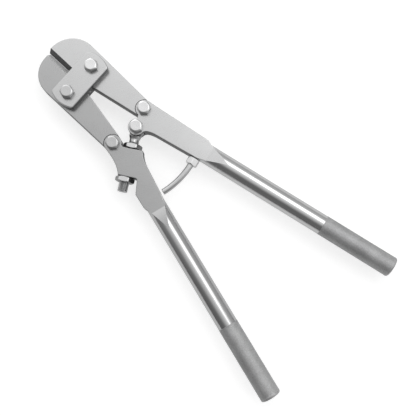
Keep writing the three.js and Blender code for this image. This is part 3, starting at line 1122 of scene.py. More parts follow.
@dataclass(frozen=True)
class Jaw:
    """A cutting jaw, drawn about its own pivot.

    Attributes:
        layout: Where the pivots stand.
        side: Which half of the tool.
        steel: Its finish, a darker copy on the lower jaw for painted shade.
        bevel_steel: The steel of its two bevels: near black on the upper jaw, painted shade in the groove,
            and pale on the lower jaw, painted light.
        front: Its foremost point.
        nose: Centre of its round back.
        nose_radius: Radius of its round back.
        tail: The pivot that its handle turns on.
        cutting_line: Height of the cutting edge.
        heel_end: Where the flat behind the cutting edge stops.
        heel_relief: Degrees that the flat falls away.
        notch_top: Top of the wall behind the flat.
        tongue_radius: Radius of the tongue.
        tongue_sweep: Degrees that its round end runs to either side.
        shoulder_radius: Radius of the shoulder that faces the handle's hub.
        tail_taper: How far the shoulder stops short of the pivot.
        bevel_width: Width of the bevel to the cutting edge.
        bevel_end: Where the bevel stops.
        land: Half thickness of the cutting edge.
        edge: How its edges are broken.
        grain: Direction of the grinding, from the cutting line.
    """

    layout: Layout
    side: Side
    steel: SteelFinish
    bevel_steel: SteelFinish
    front: float = -54.7
    nose: Point = (-22.3, -13.2)
    nose_radius: float = 32.4
    tail: Point = (78.1, 6.6)
    cutting_line: float = -20.62
    heel_end: float = 13.0
    heel_relief: float = 7.0
    notch_top: float = -16.6
    tongue_radius: float = 9.6
    tongue_sweep: float = 80.0
    shoulder_radius: float = 10.8
    tail_taper: float = 1.6
    bevel_width: float = 4.9
    bevel_end: float = -15.0
    land: float = 0.15
    edge: Edge = Edge(0.7, 4)
    grain: float = 55.0

    def outline(self) -> Outline:
        """The jaw's outline from the cutting edge round the tongue and back over the nose."""
        relief = self.cutting_line + self.heel_end * math.tan(math.radians(self.heel_relief))
        return [
            (self.front, self.cutting_line),
            (0.0, self.cutting_line),
            (self.heel_end, relief),
            (self.heel_end, self.notch_top),
            (self.tail[0] - self.tail_taper, self.tail[1] - self.shoulder_radius - GAP),
            *arc(self.tail, self.tongue_radius, -self.tongue_sweep, self.tongue_sweep),
            *arc(self.nose, self.nose_radius, 90, 180),
        ]

    def bevel(self, face: int) -> Shell:
        """The cutter that leaves the bevel on one face."""
        line, far = self.cutting_line, HALF_BODY + OVERCUT
        profile = [
            (line - OVERCUT, face * self.land),
            (line, face * self.land),
            (line + self.bevel_width, face * HALF_BODY),
            (line + self.bevel_width * far / HALF_BODY, face * far),
            (line - OVERCUT, face * far),
        ]
        shell = Shell()
        front, back = (
            shell.ring([(x, y, z) for y, z in profile]) for x in (self.front - OVERCUT, self.bevel_end)
        )
        shell.strip(front, back)
        shell.fan(front)
        shell.fan(back)
        return shell

    def build(self) -> bpy.types.Object:
        """Makes, dresses and places the jaw."""
        shell = Shell()
        holes = [arc((0.0, 0.0), PIN_HOLE, 0, 360), arc(self.tail, PIN_HOLE, 0, 360)]
        shell.add_slab(self.outline(), -HALF_BODY, HALF_BODY, self.edge, holes)
        name = f"{self.side.label}_jaw"
        made = shell.to_object(f"{name}_piece")
        far = HALF_BODY + OVERCUT
        shoulders = [
            cylinder(self.shoulder_radius, low, high, self.tail, FINE_SEGMENTS)
            for low, high in ((TONGUE_HALF, far), (-far, -TONGUE_HALF))
        ]
        machined(made, [*shoulders, self.bevel(1), self.bevel(-1)])
        # The bevels and the steep walls take their own steels: painted shade on the walls and the upper
        # bevel, painted light on the lower bevel.
        slope = HALF_BODY / math.hypot(HALF_BODY, self.bevel_width)
        for face in made.data.polygons:
            on_bevel = face.center.x < self.bevel_end and abs(face.normal.y + slope) < 0.05
            face.material_index = int(on_bevel)
        placed(made, self.layout.place(self.layout.pivots[name], 0.0, self.side))
        number_walls(made, 2)
        steels = [
            self.steel.material(turn=self.side.value * self.grain),
            self.bevel_steel.material(turn=90),
            SHADED_WALL.material(),
        ]
        return finish_piece(made, f"{name}_body", [name], steels)


# ---- levers ----------------------------------------------------------------------------------


@dataclass(frozen=True)
class ShankForm:
    """The part of a lever from its flat head to its grip, along x about an offset axis.

    Attributes:
        join: Where it takes over from the head.
        axis_y: Where its axis lies.
        radius: Its radius.
        head_end: Where the head begins to narrow.
        outer_at_end: The head's outer edge there.
        inner_at_end: The head's inner edge there.
        ramp_start: Where the flats begin to run out.
        ramp_top: Where they have run out.
        grip_start: Where the grip begins.
        edge: Rounding of the head's edges.
        rows: Rows of points from the front edge to the back edge.
        support: Width of the flat row that keeps the faces' shading flat.
        spacing: Distance between the sections outside the ramp.
    """

    join: float = 72.0
    axis_y: float = -5.6
    radius: float = 11.75
    head_end: float = 84.0
    outer_at_end: float = 7.7
    inner_at_end: float = -17.5
    ramp_start: float = 94.5
    ramp_top: float = 120.0
    grip_start: float = 246.0
    edge: float = 0.7
    rows: int = 41
    support: float = 0.25
    spacing: float = 4.0

    @property
    def flat_half_width(self) -> float:
        """Half width of a flat where it is as deep as the head."""
        return math.sqrt(self.radius**2 - HALF_BODY**2)

    def edge_levels(self, half: float = HALF_BODY, size: float | None = None) -> list[Point]:
        """Pairs of inset and height from the front edge to the back edge.

        Args:
            half: Half thickness.
            size: Rounding of the edges, or the head's own.

        Returns:
            One pair for each row.
        """
        size = self.edge if size is None else size
        levels = []
        for row in range(self.rows):
            z = half * math.cos(math.pi * row / (self.rows - 1))
            fall = half - abs(z)
            inset = size - math.sqrt(fall * (2 * size - fall)) if fall < size else 0.0
            levels.append((inset, z))
        return levels

    def half_width(self, x: float, at_join: float, at_end: float) -> tuple[float, float]:
        """Half width of the flat and rounding of its edge at a station.

        Args:
            x: The station.
            at_join: Half width of the head at the join.
            at_end: Half width of the head where it begins to narrow.

        Returns:
            Half width and rounding.
        """
        if x <= self.head_end:
            share = (x - self.join) / (self.head_end - self.join)
            return at_join + (at_end - at_join) * share - self.edge, self.edge
        if x <= self.ramp_start:
            share = (x - self.head_end) / (self.ramp_start - self.head_end)
            wide = at_end - self.edge
            return wide + (self.flat_half_width - wide) * share, self.edge * (1 - smooth(share))
        share = (self.ramp_top - x) / (self.ramp_top - self.ramp_start)
        return self.flat_half_width * max(0.0, share), 0.0

    def stations(self) -> list[float]:
        """Where the sections stand, close together along the ramp."""
        close, step = 68, self.spacing
        ramp = [self.head_end + (self.ramp_top - self.head_end) * i / close for i in range(close + 1)]
        first = [self.join + step, self.join + 2 * step]
        return [*first, *ramp, self.ramp_top + step, self.grip_start - step, self.grip_start]

    def half_section(self, x: float, at_join: float, at_end: float) -> list[Point]:
        """Distances from the axis and heights down one side of a section, its flat's support first."""
        width, size = self.half_width(x, at_join, at_end)
        half = min(self.radius, math.sqrt(self.radius**2 - min(width, self.flat_half_width) ** 2))
        points = [(max(0.0, width - self.support), half)]
        for inset, z in self.edge_levels(half, max(size, WELD)):
            round_side = math.sqrt(max(0.0, self.radius**2 - z * z))
            points.append((max(round_side, width + size - inset), z))
        points.append((max(0.0, width - self.support), -half))
        return points


@dataclass(frozen=True)
class Lever:
    """A handle lever, drawn about the pivot on its jaw's tail.

    Attributes:
        layout: Where the pivots stand.
        side: Which half of the tool.
        angle: Its turn from the tool's axis, in degrees.
        steel: Finish of its flat faces, a darker copy on the lower lever for painted shade.
        shank_steel: Finish of its round shank, a darker copy on the lower lever for painted shade.
        form: Its shank.
        hub_radius: Radius of the hub round its pivot.
        slot_radius: Radius of the slot for the jaw's tongue.
        grip_radius: Radius of the grip.
        end: Where the grip ends.
        bore: Radius of the tube's bore.
        plug_depth: Length of the end plug.
        grain: Direction of the grinding, from its own length.
    """

    layout: Layout
    side: Side
    angle: float
    steel: SteelFinish
    shank_steel: SteelFinish
    form: ShankForm = ShankForm()
    hub_radius: float = 10.4
    slot_radius: float = 10.8
    grip_radius: float = 11.97
    end: float = 337.0
    bore: float = 8.6
    plug_depth: float = 12.0
    grain: float = 58.0

    @property
    def name(self) -> str:
        """The lever's name in the frame."""
        return f"{self.side.label}_handle"

    @property
    def body(self) -> str:
        """The body that it rides on."""
        return f"{self.name}_body"

    @property
    def matrix(self) -> Matrix:
        """The move from the lever's plane to the frame."""
        return self.layout.place(self.layout.pivots[self.name], self.angle, self.side)

    @property
    def along_axis(self) -> Matrix:
        """The move that lays a body turned about z along the shank's axis."""
        return Matrix.Translation((0, self.form.axis_y, 0)) @ ALONG_X

    def local(self, at: Point) -> Point:
        """A point of the frame in the lever's own plane."""
        pivot = self.layout.pivots[self.name]
        turn = math.radians(-self.angle)
        x, y = at[0] - pivot[0], at[1] - pivot[1]
        along = x * math.cos(turn) - y * math.sin(turn)
        return (along, self.side.value * (x * math.sin(turn) + y * math.cos(turn)))

    def edge_at_join(self, start: Point, end_y: float) -> Point:
        """Where a straight edge of the head, from a point to the head's end, crosses the join."""
        share = (self.form.join - start[0]) / (self.form.head_end - start[0])
        return (self.form.join, start[1] + (end_y - start[1]) * share)

    def head_outline(self) -> Outline:
        """The head from the join, round the hub and back to the join. Each half has its own."""
        raise NotImplementedError

    def head_holes(self) -> list[Point]:
        """Centres of the round holes through the head."""
        return [(0.0, 0.0)]

    def cutters(self) -> list[Shell]:
        """What is milled out of the head."""
        half = TONGUE_HALF + GAP
        reach = self.hub_radius + OVERCUT
        mouth = [(0.0, -reach), (0.0, reach), (-reach, reach), (-reach, -reach)]
        return [cylinder(self.slot_radius, -half, half, segments=FINE_SEGMENTS), prism(mouth, -half, half)]

    def forging(self) -> Shell:
        """Head and shank as one closed shell, faces numbered 0 on the flats and 1 on the round."""
        form = self.form
        shell = Shell()
        outline = without_doubles(self.head_outline(), closed=False)
        inward = inward_steps(outline, closed=False)
        inward[0], inward[-1] = Vector((0, -1)), Vector((0, 1))
        levels = [(form.edge + form.support, HALF_BODY), *form.edge_levels()]
        levels.append((form.edge + form.support, -HALF_BODY))
        columns = [
            shell.ring([(p[0] + d.x * inset, p[1] + d.y * inset, z) for inset, z in levels])
            for p, d in zip(outline, inward)
        ]
        for column, following in zip(columns, columns[1:]):
            shell.strip(column, following, closed=False)
        holes = []
        for centre in self.head_holes():
            ring = arc(centre, PIN_HOLE, 0, 360)[:-1]
            holes.append([shell.ring([(x, y, z) for x, y in ring]) for z in (HALF_BODY, -HALF_BODY)])
            shell.strip(*holes[-1])
        shell.cap([[c[0] for c in columns], *(h[0] for h in holes)])
        shell.cap([[c[-1] for c in columns], *(h[1] for h in holes)])
        self.add_shank(shell, columns[0], columns[-1])
        return shell

    def add_shank(self, shell: Shell, outer: Verts, inner: Verts) -> None:
        """Carries the head's last section on to the grip.

        Args:
            shell: The shell that holds the head.
            outer: The head's last column of points on the outer side, from front to back.
            inner: The same on the inner side.
        """
        form = self.form
        top = outer[len(outer) // 2].co.y - form.axis_y, inner[len(inner) // 2].co.y - form.axis_y
        previous = (outer, inner)
        for x in form.stations():
            outer_half = form.half_section(x, top[0], form.outer_at_end - form.axis_y)
            inner_half = form.half_section(x, -top[1], form.axis_y - form.inner_at_end)
            ring = (
                shell.ring([(x, form.axis_y + y, z) for y, z in outer_half]),
                shell.ring([(x, form.axis_y - y, z) for y, z in inner_half]),
            )
            for before, after in zip(previous, ring):
                for i in range(len(before) - 1):
                    flat = i in (0, len(before) - 2)
                    corners = (before[i], before[i + 1], after[i + 1], after[i])
                    shell.face(corners, 0 if flat or x <= form.join + 2 * form.spacing else 1)
            for row in (0, -1):
                shell.face((previous[0][row], previous[1][row], ring[1][row], ring[0][row]), 0)
            previous = ring
        shell.fan([*previous[0], *reversed(previous[1])], 1)

    def grip(self) -> bpy.types.Object:
        """The knurled grip with its rounded end and the mouth of its bore."""
        form = self.form
        start, rounding, step = form.grip_start, 2.4, KNURL.pitch / 4
        lead, run_out, facets = 0.4, 1.2, 6
        corner_start, mouth = self.end - rounding, 0.3
        count = round((corner_start - start - run_out) / step)
        profile = [(form.radius - 0.1, start), (self.grip_radius - 0.35, start + 0.02)]
        profile += [(self.grip_radius, start + lead + step * i) for i in range(count + 1)]
        profile.append((self.grip_radius, max(profile[-1][1] + 0.05, corner_start)))
        for a in (math.pi / 2 * i / facets for i in range(1, facets + 1)):
            profile.append(
                (self.grip_radius - rounding * (1 - math.cos(a)), corner_start + rounding * math.sin(a))
            )
        profile += [
            (self.bore + mouth, self.end),
            (self.bore, self.end - mouth),
            (self.bore, self.end - self.plug_depth - OVERCUT),
        ]
        shell = Shell()
        shell.add_turned(profile, KNURL.starts * 4)
        made = shell.moved(self.along_axis).to_object(f"{self.name}_grip_piece")
        steel = KNURLED_GRIP.material()
        KNURL.apply(made, steel, start + lead + 0.2, corner_start - 0.9, form.axis_y)
        placed(made, self.matrix)
        return finish_piece(made, self.body, [self.name], [steel])

    def plug(self) -> bpy.types.Object:
        """The plug in the end of the tube."""
        radius, lead = self.bore - GAP, 0.8
        profile = [
            (radius - lead, self.end - self.plug_depth),
            (radius, self.end - self.plug_depth + lead),
            (radius, self.end - BREAK),
            (radius - 0.3 * BREAK, self.end - 0.3 * BREAK),
            (radius - BREAK, self.end),
            (1.0, self.end - 0.05),
        ]
        shell = Shell()
        shell.add_turned(profile, 96)
        made = shell.moved(self.along_axis).to_object(f"{self.name}_plug_piece", self.matrix)
        steel = DRAWN_ROD.material(turn=self.angle)
        return finish_piece(made, self.body, [f"{self.name}_end_plug"], [steel])

    def build(self) -> None:
        """Makes, dresses and places the forging, the grip and the plug."""
        made = self.forging().to_object(f"{self.name}_piece")
        machined(made, self.cutters())
        placed(made, self.matrix)
        # The steep walls take the dark wall steel: painted shade.
        number_walls(made, 2)
        materials = [
            self.steel.material(turn=self.angle + self.grain),
            self.shank_steel.material(turn=self.angle),
            SHADED_WALL.material(),
        ]
        finish_piece(made, self.body, [self.name], materials)
        self.grip()
        self.plug()


@dataclass(frozen=True)
class UpperLever(Lever):
    """The upper lever, with the lobe for the centre hinge and the socket for the stop rod.

    Attributes:
        lobe_radius: Radius of the lobe.
        throat: Where the lobe's sweep meets the inner edge.
        throat_bend: The sweep's corner, from the lobe's end.
        stop_x: Where the stop rod is set in.
        stop_radius: The stop rod's radius.
        stop_socket: Bottom of the stop rod's socket.
        hub_arc: Where the hub's round side starts and ends, in degrees.
        lobe_arc: The same for the lobe's.
    """

    lobe_radius: float = 10.0
    throat: Point = (30.0, -19.3)
    throat_bend: Point = (1.5, -19.9)
    stop_x: float = 80.8
    stop_radius: float = 3.6
    stop_socket: float = -10.7
    hub_arc: Point = (75.0, 260.0)
    lobe_arc: Point = (118.0, 348.0)

    def head_outline(self) -> Outline:
        """The head, round the hub and the lobe."""
        lobe = self.local(self.layout.pivots["centre_hinge"])
        lobe_end = on_circle(lobe, self.lobe_radius, self.lobe_arc[1])
        hub = arc((0.0, 0.0), self.hub_radius, *self.hub_arc)
        return [
            self.edge_at_join(hub[0], self.form.outer_at_end),
            *hub,
            *arc(lobe, self.lobe_radius, *self.lobe_arc),
            *bend(lobe_end, (lobe_end[0] + self.throat_bend[0], self.throat_bend[1]), self.throat),
            self.edge_at_join(self.throat, self.form.inner_at_end),
        ]

    def head_holes(self) -> list[Point]:
        """The pivot's hole and the centre hinge's."""
        return [(0.0, 0.0), self.local(self.layout.pivots["centre_hinge"])]

    def cutters(self) -> list[Shell]:
        """The tongue's slot, the eye's slot and the stop rod's socket."""
        half = TONGUE_HALF + GAP
        lobe = self.local(self.layout.pivots["centre_hinge"])
        socket = cylinder(self.stop_radius + SNUG, 0.0, 20.0)
        down = Matrix.Translation((self.stop_x, self.stop_socket, 0)) @ DOWNWARDS
        eye_slot = cylinder(self.slot_radius, -half, half, lobe, FINE_SEGMENTS)
        return [*super().cutters(), eye_slot, socket.moved(down)]


@dataclass(frozen=True)
class LowerLever(Lever):
    """The lower lever, with the block that the eyebolt runs through.

    Attributes:
        eyebolt_angle: The eyebolt's direction in the frame, in degrees.
        block_top: From the eye to the block's top.
        block_bottom: From the eye to its bottom.
        inner_width: From the eyebolt's axis to the block's inner side.
        outer_width: From the axis to the outer side at the bottom.
        top_outer_width: From the axis to the outer side at the top.
        notch_end: Where the notch for the lower nut meets the shank's edge.
        eyebolt_bore: Radius of the eyebolt's hole.
        hub_arc: Where the hub's round side starts and ends, in degrees.
        corner: The block's inner top corner, from its sharp point.
        shoulder: Corner between the block and the shank's edge.
        shoulder_end: Where that corner ends.
        flank_bend: Corner between the block's bottom and the hub.
        flank_end: Where that corner ends.
        notch_widening: How much deeper the notch runs than the block's inner side.
        notch_rounding: Reach of the notch's rounded corner.
    """

    eyebolt_angle: float = -59.0
    block_top: float = 26.2
    block_bottom: float = 59.4
    inner_width: float = 13.8
    outer_width: float = 8.2
    top_outer_width: float = 10.4
    notch_end: Point = (66.0, 8.0)
    eyebolt_bore: float = 6.3
    hub_arc: Point = (75.0, 312.0)
    corner: Point = (1.2, 0.6)
    shoulder: Point = (33.0, -21.2)
    shoulder_end: Point = (42.0, -20.2)
    flank_bend: Point = (24.0, 7.4)
    flank_end: Point = (3.0, 10.2)
    notch_widening: float = 0.6
    notch_rounding: float = 1.8

    def on_block(self, along: float, across: float) -> Point:
        """A point measured along the eyebolt from its eye, and across it towards the tool's axis."""
        eye = self.local(self.layout.pivots["centre_hinge"])
        turn = math.radians(self.eyebolt_angle - self.angle)
        dx, dy = math.cos(turn), -math.sin(turn)
        return (eye[0] + along * dx + across * dy, eye[1] + along * dy - across * dx)

    def head_outline(self) -> Outline:
        """The head, from the notch round the hub and over the block's top."""
        top = self.on_block(self.block_top, self.inner_width)
        notch = self.on_block(self.block_bottom, self.inner_width + self.notch_widening)
        rounding = self.notch_rounding
        notch_side = (notch[0] + rounding, notch[1] + rounding / 2)
        return [
            self.edge_at_join(self.notch_end, self.form.outer_at_end),
            self.notch_end,
            *bend(notch_side, notch, self.on_block(self.block_bottom, self.inner_width - rounding)),
            *bend(self.on_block(self.block_bottom, -self.outer_width), self.flank_bend, self.flank_end),
            *arc((0.0, 0.0), self.hub_radius, *self.hub_arc),
            self.on_block(self.block_top, -self.top_outer_width),
            top,
            *bend((top[0] + self.corner[0], top[1] + self.corner[1]), self.shoulder, self.shoulder_end),
            self.edge_at_join(self.shoulder_end, self.form.inner_at_end),
        ]

    def cutters(self) -> list[Shell]:
        """The tongue's slot and the eyebolt's hole."""
        length = self.block_bottom - self.block_top + 2 * OVERCUT
        start = self.on_block(self.block_top - OVERCUT, 0.0)
        turn = math.radians(self.eyebolt_angle - self.angle)
        hole = cylinder(self.eyebolt_bore, 0.0, length)
        lie = Matrix.Rotation(-turn, 4, "Z") @ ALONG_X
        return [*super().cutters(), hole.moved(Matrix.Translation((*start, 0)) @ lie)]


# ---- eyebolt ---------------------------------------------------------------------------------


@dataclass(frozen=True)
class Eyebolt:
    """The threaded eyebolt between the levers, with its two thin nuts, drawn from its eye along x.

    Attributes:
        layout: Where the pivots stand.
        angle: Its direction in degrees.
        eye_radius: Radius of its eye.
        lobe_radius: Radius of the lobe that it turns in.
        play: Clearance of the eye on its bolt.
        radius: Radius of its thread.
        length: From the eye's middle to its end.
        neck_top: Radius of the neck at the eye.
        neck_waist: Radius of the neck's waist.
        neck_end: Where the thread begins.
        nut: One of its nuts.
        upper_nut_at: From the eye to the upper nut's upper face.
        lower_nut_at: From the eye to the lower nut's upper face.
    """

    layout: Layout
    angle: float = -59.0
    eye_radius: float = 9.6
    lobe_radius: float = 10.0
    play: float = 1.2
    radius: float = 6.0
    length: float = 77.0
    neck_top: float = 7.2
    neck_waist: float = 5.6
    neck_end: float = 17.0
    nut: ThinNut = ThinNut(
        Hexagon(20.2, corner_relief=0.2, face_relief=0.9, segments=FINE_SEGMENTS), 6.2, 6.3
    )
    upper_nut_at: float = 19.7
    lower_nut_at: float = 59.7

    @property
    def matrix(self) -> Matrix:
        """The move from the eyebolt's plane to the frame."""
        return self.layout.place(self.layout.pivots["centre_hinge"], self.angle)

    def rod(self) -> Shell:
        """The neck and the threaded rod."""
        flare = [(x, self.flare(x)) for x in (self.eye_radius + 0.5 * i for i in range(13))]
        step = FINE_THREAD.pitch / 4
        count = int((self.length - self.neck_end - 1.5) / step)
        thread = [(self.neck_end + 0.5 + step * i, self.radius) for i in range(count)]
        end = [(self.length - back, self.radius - 0.9 + back) for back in (0.9, 0.6, 0.0)]
        profile = [(0.0, self.neck_top), *flare, *thread, *end]
        shell = Shell()
        shell.add_turned([(radius, x) for x, radius in profile], 96)
        return shell.moved(ALONG_X)

    def flare(self, x: float) -> float:
        """Radius of the neck at a distance from the eye."""
        share = smooth((x - self.eye_radius) / 5.0)
        return self.neck_top + (self.neck_waist - self.neck_top) * share

    def eye(self) -> Shell:
        """The flat eye."""
        shell = Shell()
        hole = arc((0.0, 0.0), PIN_RADIUS + self.play, 0, 360)
        rim = arc((0.0, 0.0), self.eye_radius, 0, 360)
        shell.add_slab(rim, -TONGUE_HALF, TONGUE_HALF, Edge(0.4, 3), [hole])
        return shell

    def build(self) -> None:
        """Makes, dresses and places the eyebolt and its nuts."""
        steel = DRAWN_ROD.material(turn=self.angle)
        made = self.rod().to_object("eyebolt_piece")
        FINE_THREAD.apply(made, steel, self.neck_end + 0.4, self.length - 1.0)
        clear, far = self.lobe_radius + self.play, HALF_BODY + OVERCUT
        flats = [
            cylinder(clear, TONGUE_HALF, far),
            cylinder(clear, -far, -TONGUE_HALF),
            cylinder(PIN_RADIUS + self.play, -far, far),
        ]
        machined(made, flats)
        machined(made, [self.eye()], "UNION")
        placed(made, self.matrix)
        body = "lower_handle_body"
        finish_piece(made, body, ["eyebolt"], [steel])
        centre = self.layout.pivots["centre_hinge"]
        # The nuts' flanks take a darker steel: painted shade.
        steels = [POLISHED_HEX.material(centre=centre), PAINTED_SHADE_FLANK.material(centre=centre)]
        for label, at in (("upper", self.upper_nut_at), ("lower", self.lower_nut_at)):
            lie = Matrix.Translation((at, 0, 0)) @ ALONG_X
            node = f"eyebolt_{label}_nut"
            nut = self.nut.shell().moved(lie).to_object(f"{node}_piece", self.matrix)
            number_walls(nut, 1, FLANK_STEEPNESS)
            finish_piece(nut, body, [node], steels)


# ---- stop rod --------------------------------------------------------------------------------


@dataclass(frozen=True)
class StopRod:
    """The bent rod that stops the levers, with its collar, drawn in the upper lever's plane.

    Attributes:
        lever: The lever that it is set in.
        x: Where it is set in.
        socket: Its inner end.
        straight_end: Where the bend begins.
        bend_radius: Radius of the bend.
        turn: Degrees that it bends by.
        radius: The rod's radius.
        collar: Its hexagonal collar.
        collar_top: The collar's upper face.
        segments: Facets round the rod.
    """

    lever: UpperLever
    x: float = 80.8
    socket: float = -11.0
    straight_end: float = -28.2
    bend_radius: float = 97.0
    turn: float = 26.0
    radius: float = 3.6
    collar: ThinNut = ThinNut(Hexagon(13.2, corner_relief=0.2, face_relief=0.6), 8.6, 3.7)
    collar_top: float = -18.0
    segments: int = 48

    def route(self) -> list[tuple[Point, Point]]:
        """Points along the rod's axis, each with the rod's direction there."""
        straight, curved = 6, 48
        fall = (self.straight_end - self.socket) / straight
        route = [((self.x, self.socket + fall * i), (0.0, -1.0)) for i in range(straight)]
        centre = (self.x - self.bend_radius, self.straight_end)
        for i in range(curved + 1):
            angle = -self.turn * i / curved
            turn = math.radians(angle)
            route.append((on_circle(centre, self.bend_radius, angle), (math.sin(turn), -math.cos(turn))))
        return route

    def rod(self) -> Shell:
        """The rod, with its ends broken. A section stands back from the route and is narrowed."""
        route = self.route()
        ends = {0: [(0.0, BREAK)], len(route) - 1: [(BREAK, 0.0), (BREAK / 2, 0.15), (0.0, BREAK)]}
        turns = [FULL_TURN * k / self.segments for k in range(self.segments)]
        shell = Shell()
        rings = []
        for i, (at, along) in enumerate(route):
            for back, narrowing in ends.get(i, [(0.0, 0.0)]):
                radius = self.radius - narrowing
                x, y = at[0] - along[0] * back, at[1] - along[1] * back
                sides = [(radius * math.cos(a), radius * math.sin(a)) for a in turns]
                rings.append(shell.ring([(x - along[1] * d, y + along[0] * d, z) for d, z in sides]))
        for ring, following in zip(rings, rings[1:]):
            shell.strip(ring, following)
        shell.fan(rings[0])
        shell.fan(rings[-1])
        return shell

    def build(self) -> None:
        """Makes, dresses and places the rod and its collar."""
        lever = self.lever
        made = self.rod().to_object("stop_rod_piece", lever.matrix)
        steel = DRAWN_ROD.material(turn=lever.angle - 90)
        finish_piece(made, lever.body, ["stop_rod"], [steel])
        down = Matrix.Translation((self.x, self.collar_top, 0)) @ DOWNWARDS
        collar = self.collar.shell().moved(down).to_object("stop_rod_collar_piece", lever.matrix)
        hex_steel = POLISHED_HEX.material(centre=lever.layout.pivots["upper_handle"])
        finish_piece(collar, lever.body, ["stop_rod_collar"], [hex_steel])


# ---- studio ----------------------------------------------------------------------------------


@dataclass(frozen=True)
class Softbox:
    """A square soft light.

    Attributes:
        name: What it is for.
        towards: Direction from the tool to the light.
        distance: How far it stands, in metres.
        size: Its side, in metres.
        power: Its power in watts.
    """

    name: str
    towards: tuple[float, float, float]
    distance: float
    size: float
    power: float

    def build(self) -> None:
        """Sets the light up, facing the tool."""
        data = bpy.data.lights.new(self.name, "AREA")
        data.size = self.size
        data.energy = self.power
        made = bpy.data.objects.new(self.name, data)
        bpy.context.scene.collection.objects.link(made)
        direction = Vector(self.towards).normalized()
        made.location = direction * self.distance
        made.rotation_euler = direction.to_track_quat("Z", "Y").to_euler()


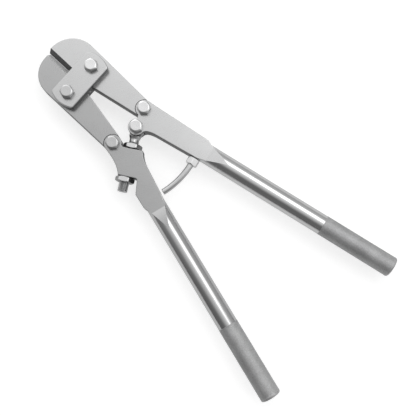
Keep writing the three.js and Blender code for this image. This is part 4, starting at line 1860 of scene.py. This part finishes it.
@dataclass(frozen=True)
class Studio:
    """The floor, the light and the camera.

    Attributes:
        distance: From the camera to the point that it looks at, in metres.
        lens: Focal length in millimetres, on a 36 mm sensor.
        tilt: Degrees that the camera stands back towards the picture's lower side.
        sway: Degrees that it stands towards the picture's right.
        roll: Degrees that the tool's axis points down to the right in the picture.
        aim: The point that it looks at, from the middle of the tool's box, in metres.
        sky: Stops of the studio's brightness, from the picture's lower left to its upper right.
        below: How it dims towards the picture's lower side, as strengths and the lean they span.
        beside: How it brightens towards the picture's upper left, in the same way.
        floor_tones: The floor's darkest and lightest grey.
        floor_glow: How much light the floor gives of its own, as the tool meets it.
        backdrop_glow: How much more it gives straight to the camera, for a pale backdrop.
        key_lean: How far the key light stands off the vertical, to the right and up.
    """

    distance: float = 0.700
    lens: float = 52.68
    tilt: float = 8.0
    sway: float = 1.0
    roll: float = 43.3
    aim: tuple[float, float] = (0.0333, 0.0062)
    sky: tuple[Point, ...] = (
        (0.0, 0.30),
        (0.21, 0.30),
        (0.305, 0.50),
        (0.40, 0.62),
        (0.50, 0.72),
        (0.57, 0.95),
        (0.63, 1.2),
        (0.735, 1.2),
        (0.82, 0.7),
        (0.935, 0.47),
        (1.0, 0.45),
    )
    below: tuple[Point, Point] = ((0.5, 1.0), (-0.55, -0.05))
    beside: tuple[Point, Point] = ((1.0, 1.3), (0.25, 0.6))
    floor_tones: Point = (0.54, 0.56)
    floor_glow: float = 0.28
    backdrop_glow: float = 0.40
    key_lean: float = 0.4

    @property
    def picture_axes(self) -> tuple[Vector, Vector]:
        """The picture's right and up, laid in the floor's plane."""
        turn = math.radians(self.roll)
        right = Vector((math.cos(turn), math.sin(turn), 0))
        return right, Vector((-right.y, right.x, 0))

    def add_camera(self, height: float) -> None:
        """Sets the camera up over the tool.

        Args:
            height: Height of the tool's middle plane, in metres.
        """
        right, up = self.picture_axes
        data = bpy.data.cameras.new("camera")
        data.lens = self.lens
        data.clip_start = 0.01
        made = bpy.data.objects.new("camera", data)
        bpy.context.scene.collection.objects.link(made)
        bpy.context.scene.camera = made
        side = right * math.sin(math.radians(self.sway)) - up * math.sin(math.radians(self.tilt))
        back = Vector((side.x, side.y, math.sqrt(1 - side.length_squared)))
        across = up.cross(back).normalized()
        rows = Matrix((across, back.cross(across), back)).transposed()
        spot = Vector((*self.aim, height)) + back * self.distance
        made.matrix_world = Matrix.Translation(spot) @ rows.to_4x4()

    def add_sky(self) -> None:
        """A plain bright room, dimmer low down at the picture's lower left."""
        world = bpy.data.worlds.new("room")
        bpy.context.scene.world = world
        world.use_nodes = True
        sheet = NodeSheet(world.node_tree)
        right, up = self.picture_axes
        direction = sheet.add("ShaderNodeTexCoord").outputs["Generated"]
        share = sheet.math("MULTIPLY_ADD", sheet.lean(direction, (right + up).normalized()), 0.5, 0.5)
        ramp = sheet.feed(sheet.add("ShaderNodeValToRGB"), {"Fac": share})
        stops = ramp.color_ramp.elements
        while len(stops) < len(self.sky):
            stops.new(0.5)
        for stop, (position, _) in zip(stops, self.sky):
            stop.position = position
        for stop, (_, light) in zip(stops, self.sky):
            stop.color = (light, light, light, 1.0)
        below = sheet.spread(sheet.lean(direction, up), *self.below, "SMOOTHSTEP")
        beside = sheet.spread(sheet.lean(direction, (up - right).normalized()), *self.beside, "SMOOTHSTEP")
        strength = sheet.math("MULTIPLY", below, beside)
        sheet.feed(world.node_tree.nodes["Background"], {"Color": ramp.outputs[0], "Strength": strength})

    def add_floor(self) -> None:
        """A plain pale floor under the tool."""
        shell = Shell()
        half = 2.5
        shell.cap([shell.ring([(-half, -half, 0), (half, -half, 0), (half, half, 0), (-half, half, 0)])])
        floor = shell.to_object("floor")
        pale = bpy.data.materials.new("pale_floor")
        pale.use_nodes = True
        sheet = NodeSheet(pale.node_tree)
        clouds = sheet.feed(sheet.add("ShaderNodeTexNoise"), {"Scale": 3.0, "Detail": 2.0}).outputs["Fac"]
        ramp = sheet.feed(sheet.add("ShaderNodeValToRGB"), {"Fac": clouds})
        for stop, grey in zip(ramp.color_ramp.elements, self.floor_tones):
            stop.color = (grey, grey, grey, 1.0)
        surface = pale.node_tree.nodes["Principled BSDF"]
        seen = sheet.add("ShaderNodeLightPath").outputs["Is Camera Ray"]
        glow = {
            "Emission Color": (1.0, 1.0, 1.0, 1.0),
            "Emission Strength": sheet.math("MULTIPLY_ADD", seen, self.backdrop_glow, self.floor_glow),
        }
        sheet.feed(surface, {"Base Color": ramp.outputs[0], "Roughness": 0.9, **glow})
        floor.data.materials.append(pale)

    def build(self, height: float) -> None:
        """Sets up the floor, the light and the camera."""
        right, up = self.picture_axes
        self.add_floor()
        self.add_sky()
        self.add_camera(height)
        over = (right + up) * self.key_lean + Vector((0, 0, 1))
        Softbox("key_softbox", tuple(over), distance=1.6, size=0.8, power=2.0).build()
        bpy.context.scene.view_settings.view_transform = "Standard"


# ---- the whole tool --------------------------------------------------------------------------


def main() -> None:
    """Builds the studio and every sub-assembly."""
    logging.basicConfig(level=logging.INFO, format="%(name)s: %(message)s")
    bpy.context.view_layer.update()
    layout = Layout.of_frame()
    Studio().build(layout.height * MM)
    Clamp(layout).build()
    # The lower jaw and lever take darker copies of the steels, painted shade; the jaws' bevels carry
    # painted shade and painted light.
    Jaw(layout, Side.UPPER, BRIGHT_GROUND, SHADED_BEVEL).build()
    Jaw(layout, Side.LOWER, PAINTED_SHADE_GROUND, PAINTED_LIGHT_BEVEL, nose=(-23.3, -13.6), nose_radius=30.0).build()
    upper = UpperLever(layout, Side.UPPER, 11.0, BRIGHT_GROUND, POLISHED_SHANK)
    upper.build()
    LowerLever(layout, Side.LOWER, -15.4, PAINTED_SHADE_GROUND, PAINTED_SHADE_SHANK).build()
    Eyebolt(layout).build()
    StopRod(upper).build()
    Fasteners(layout).build()


if __name__ == "__main__":
    main()
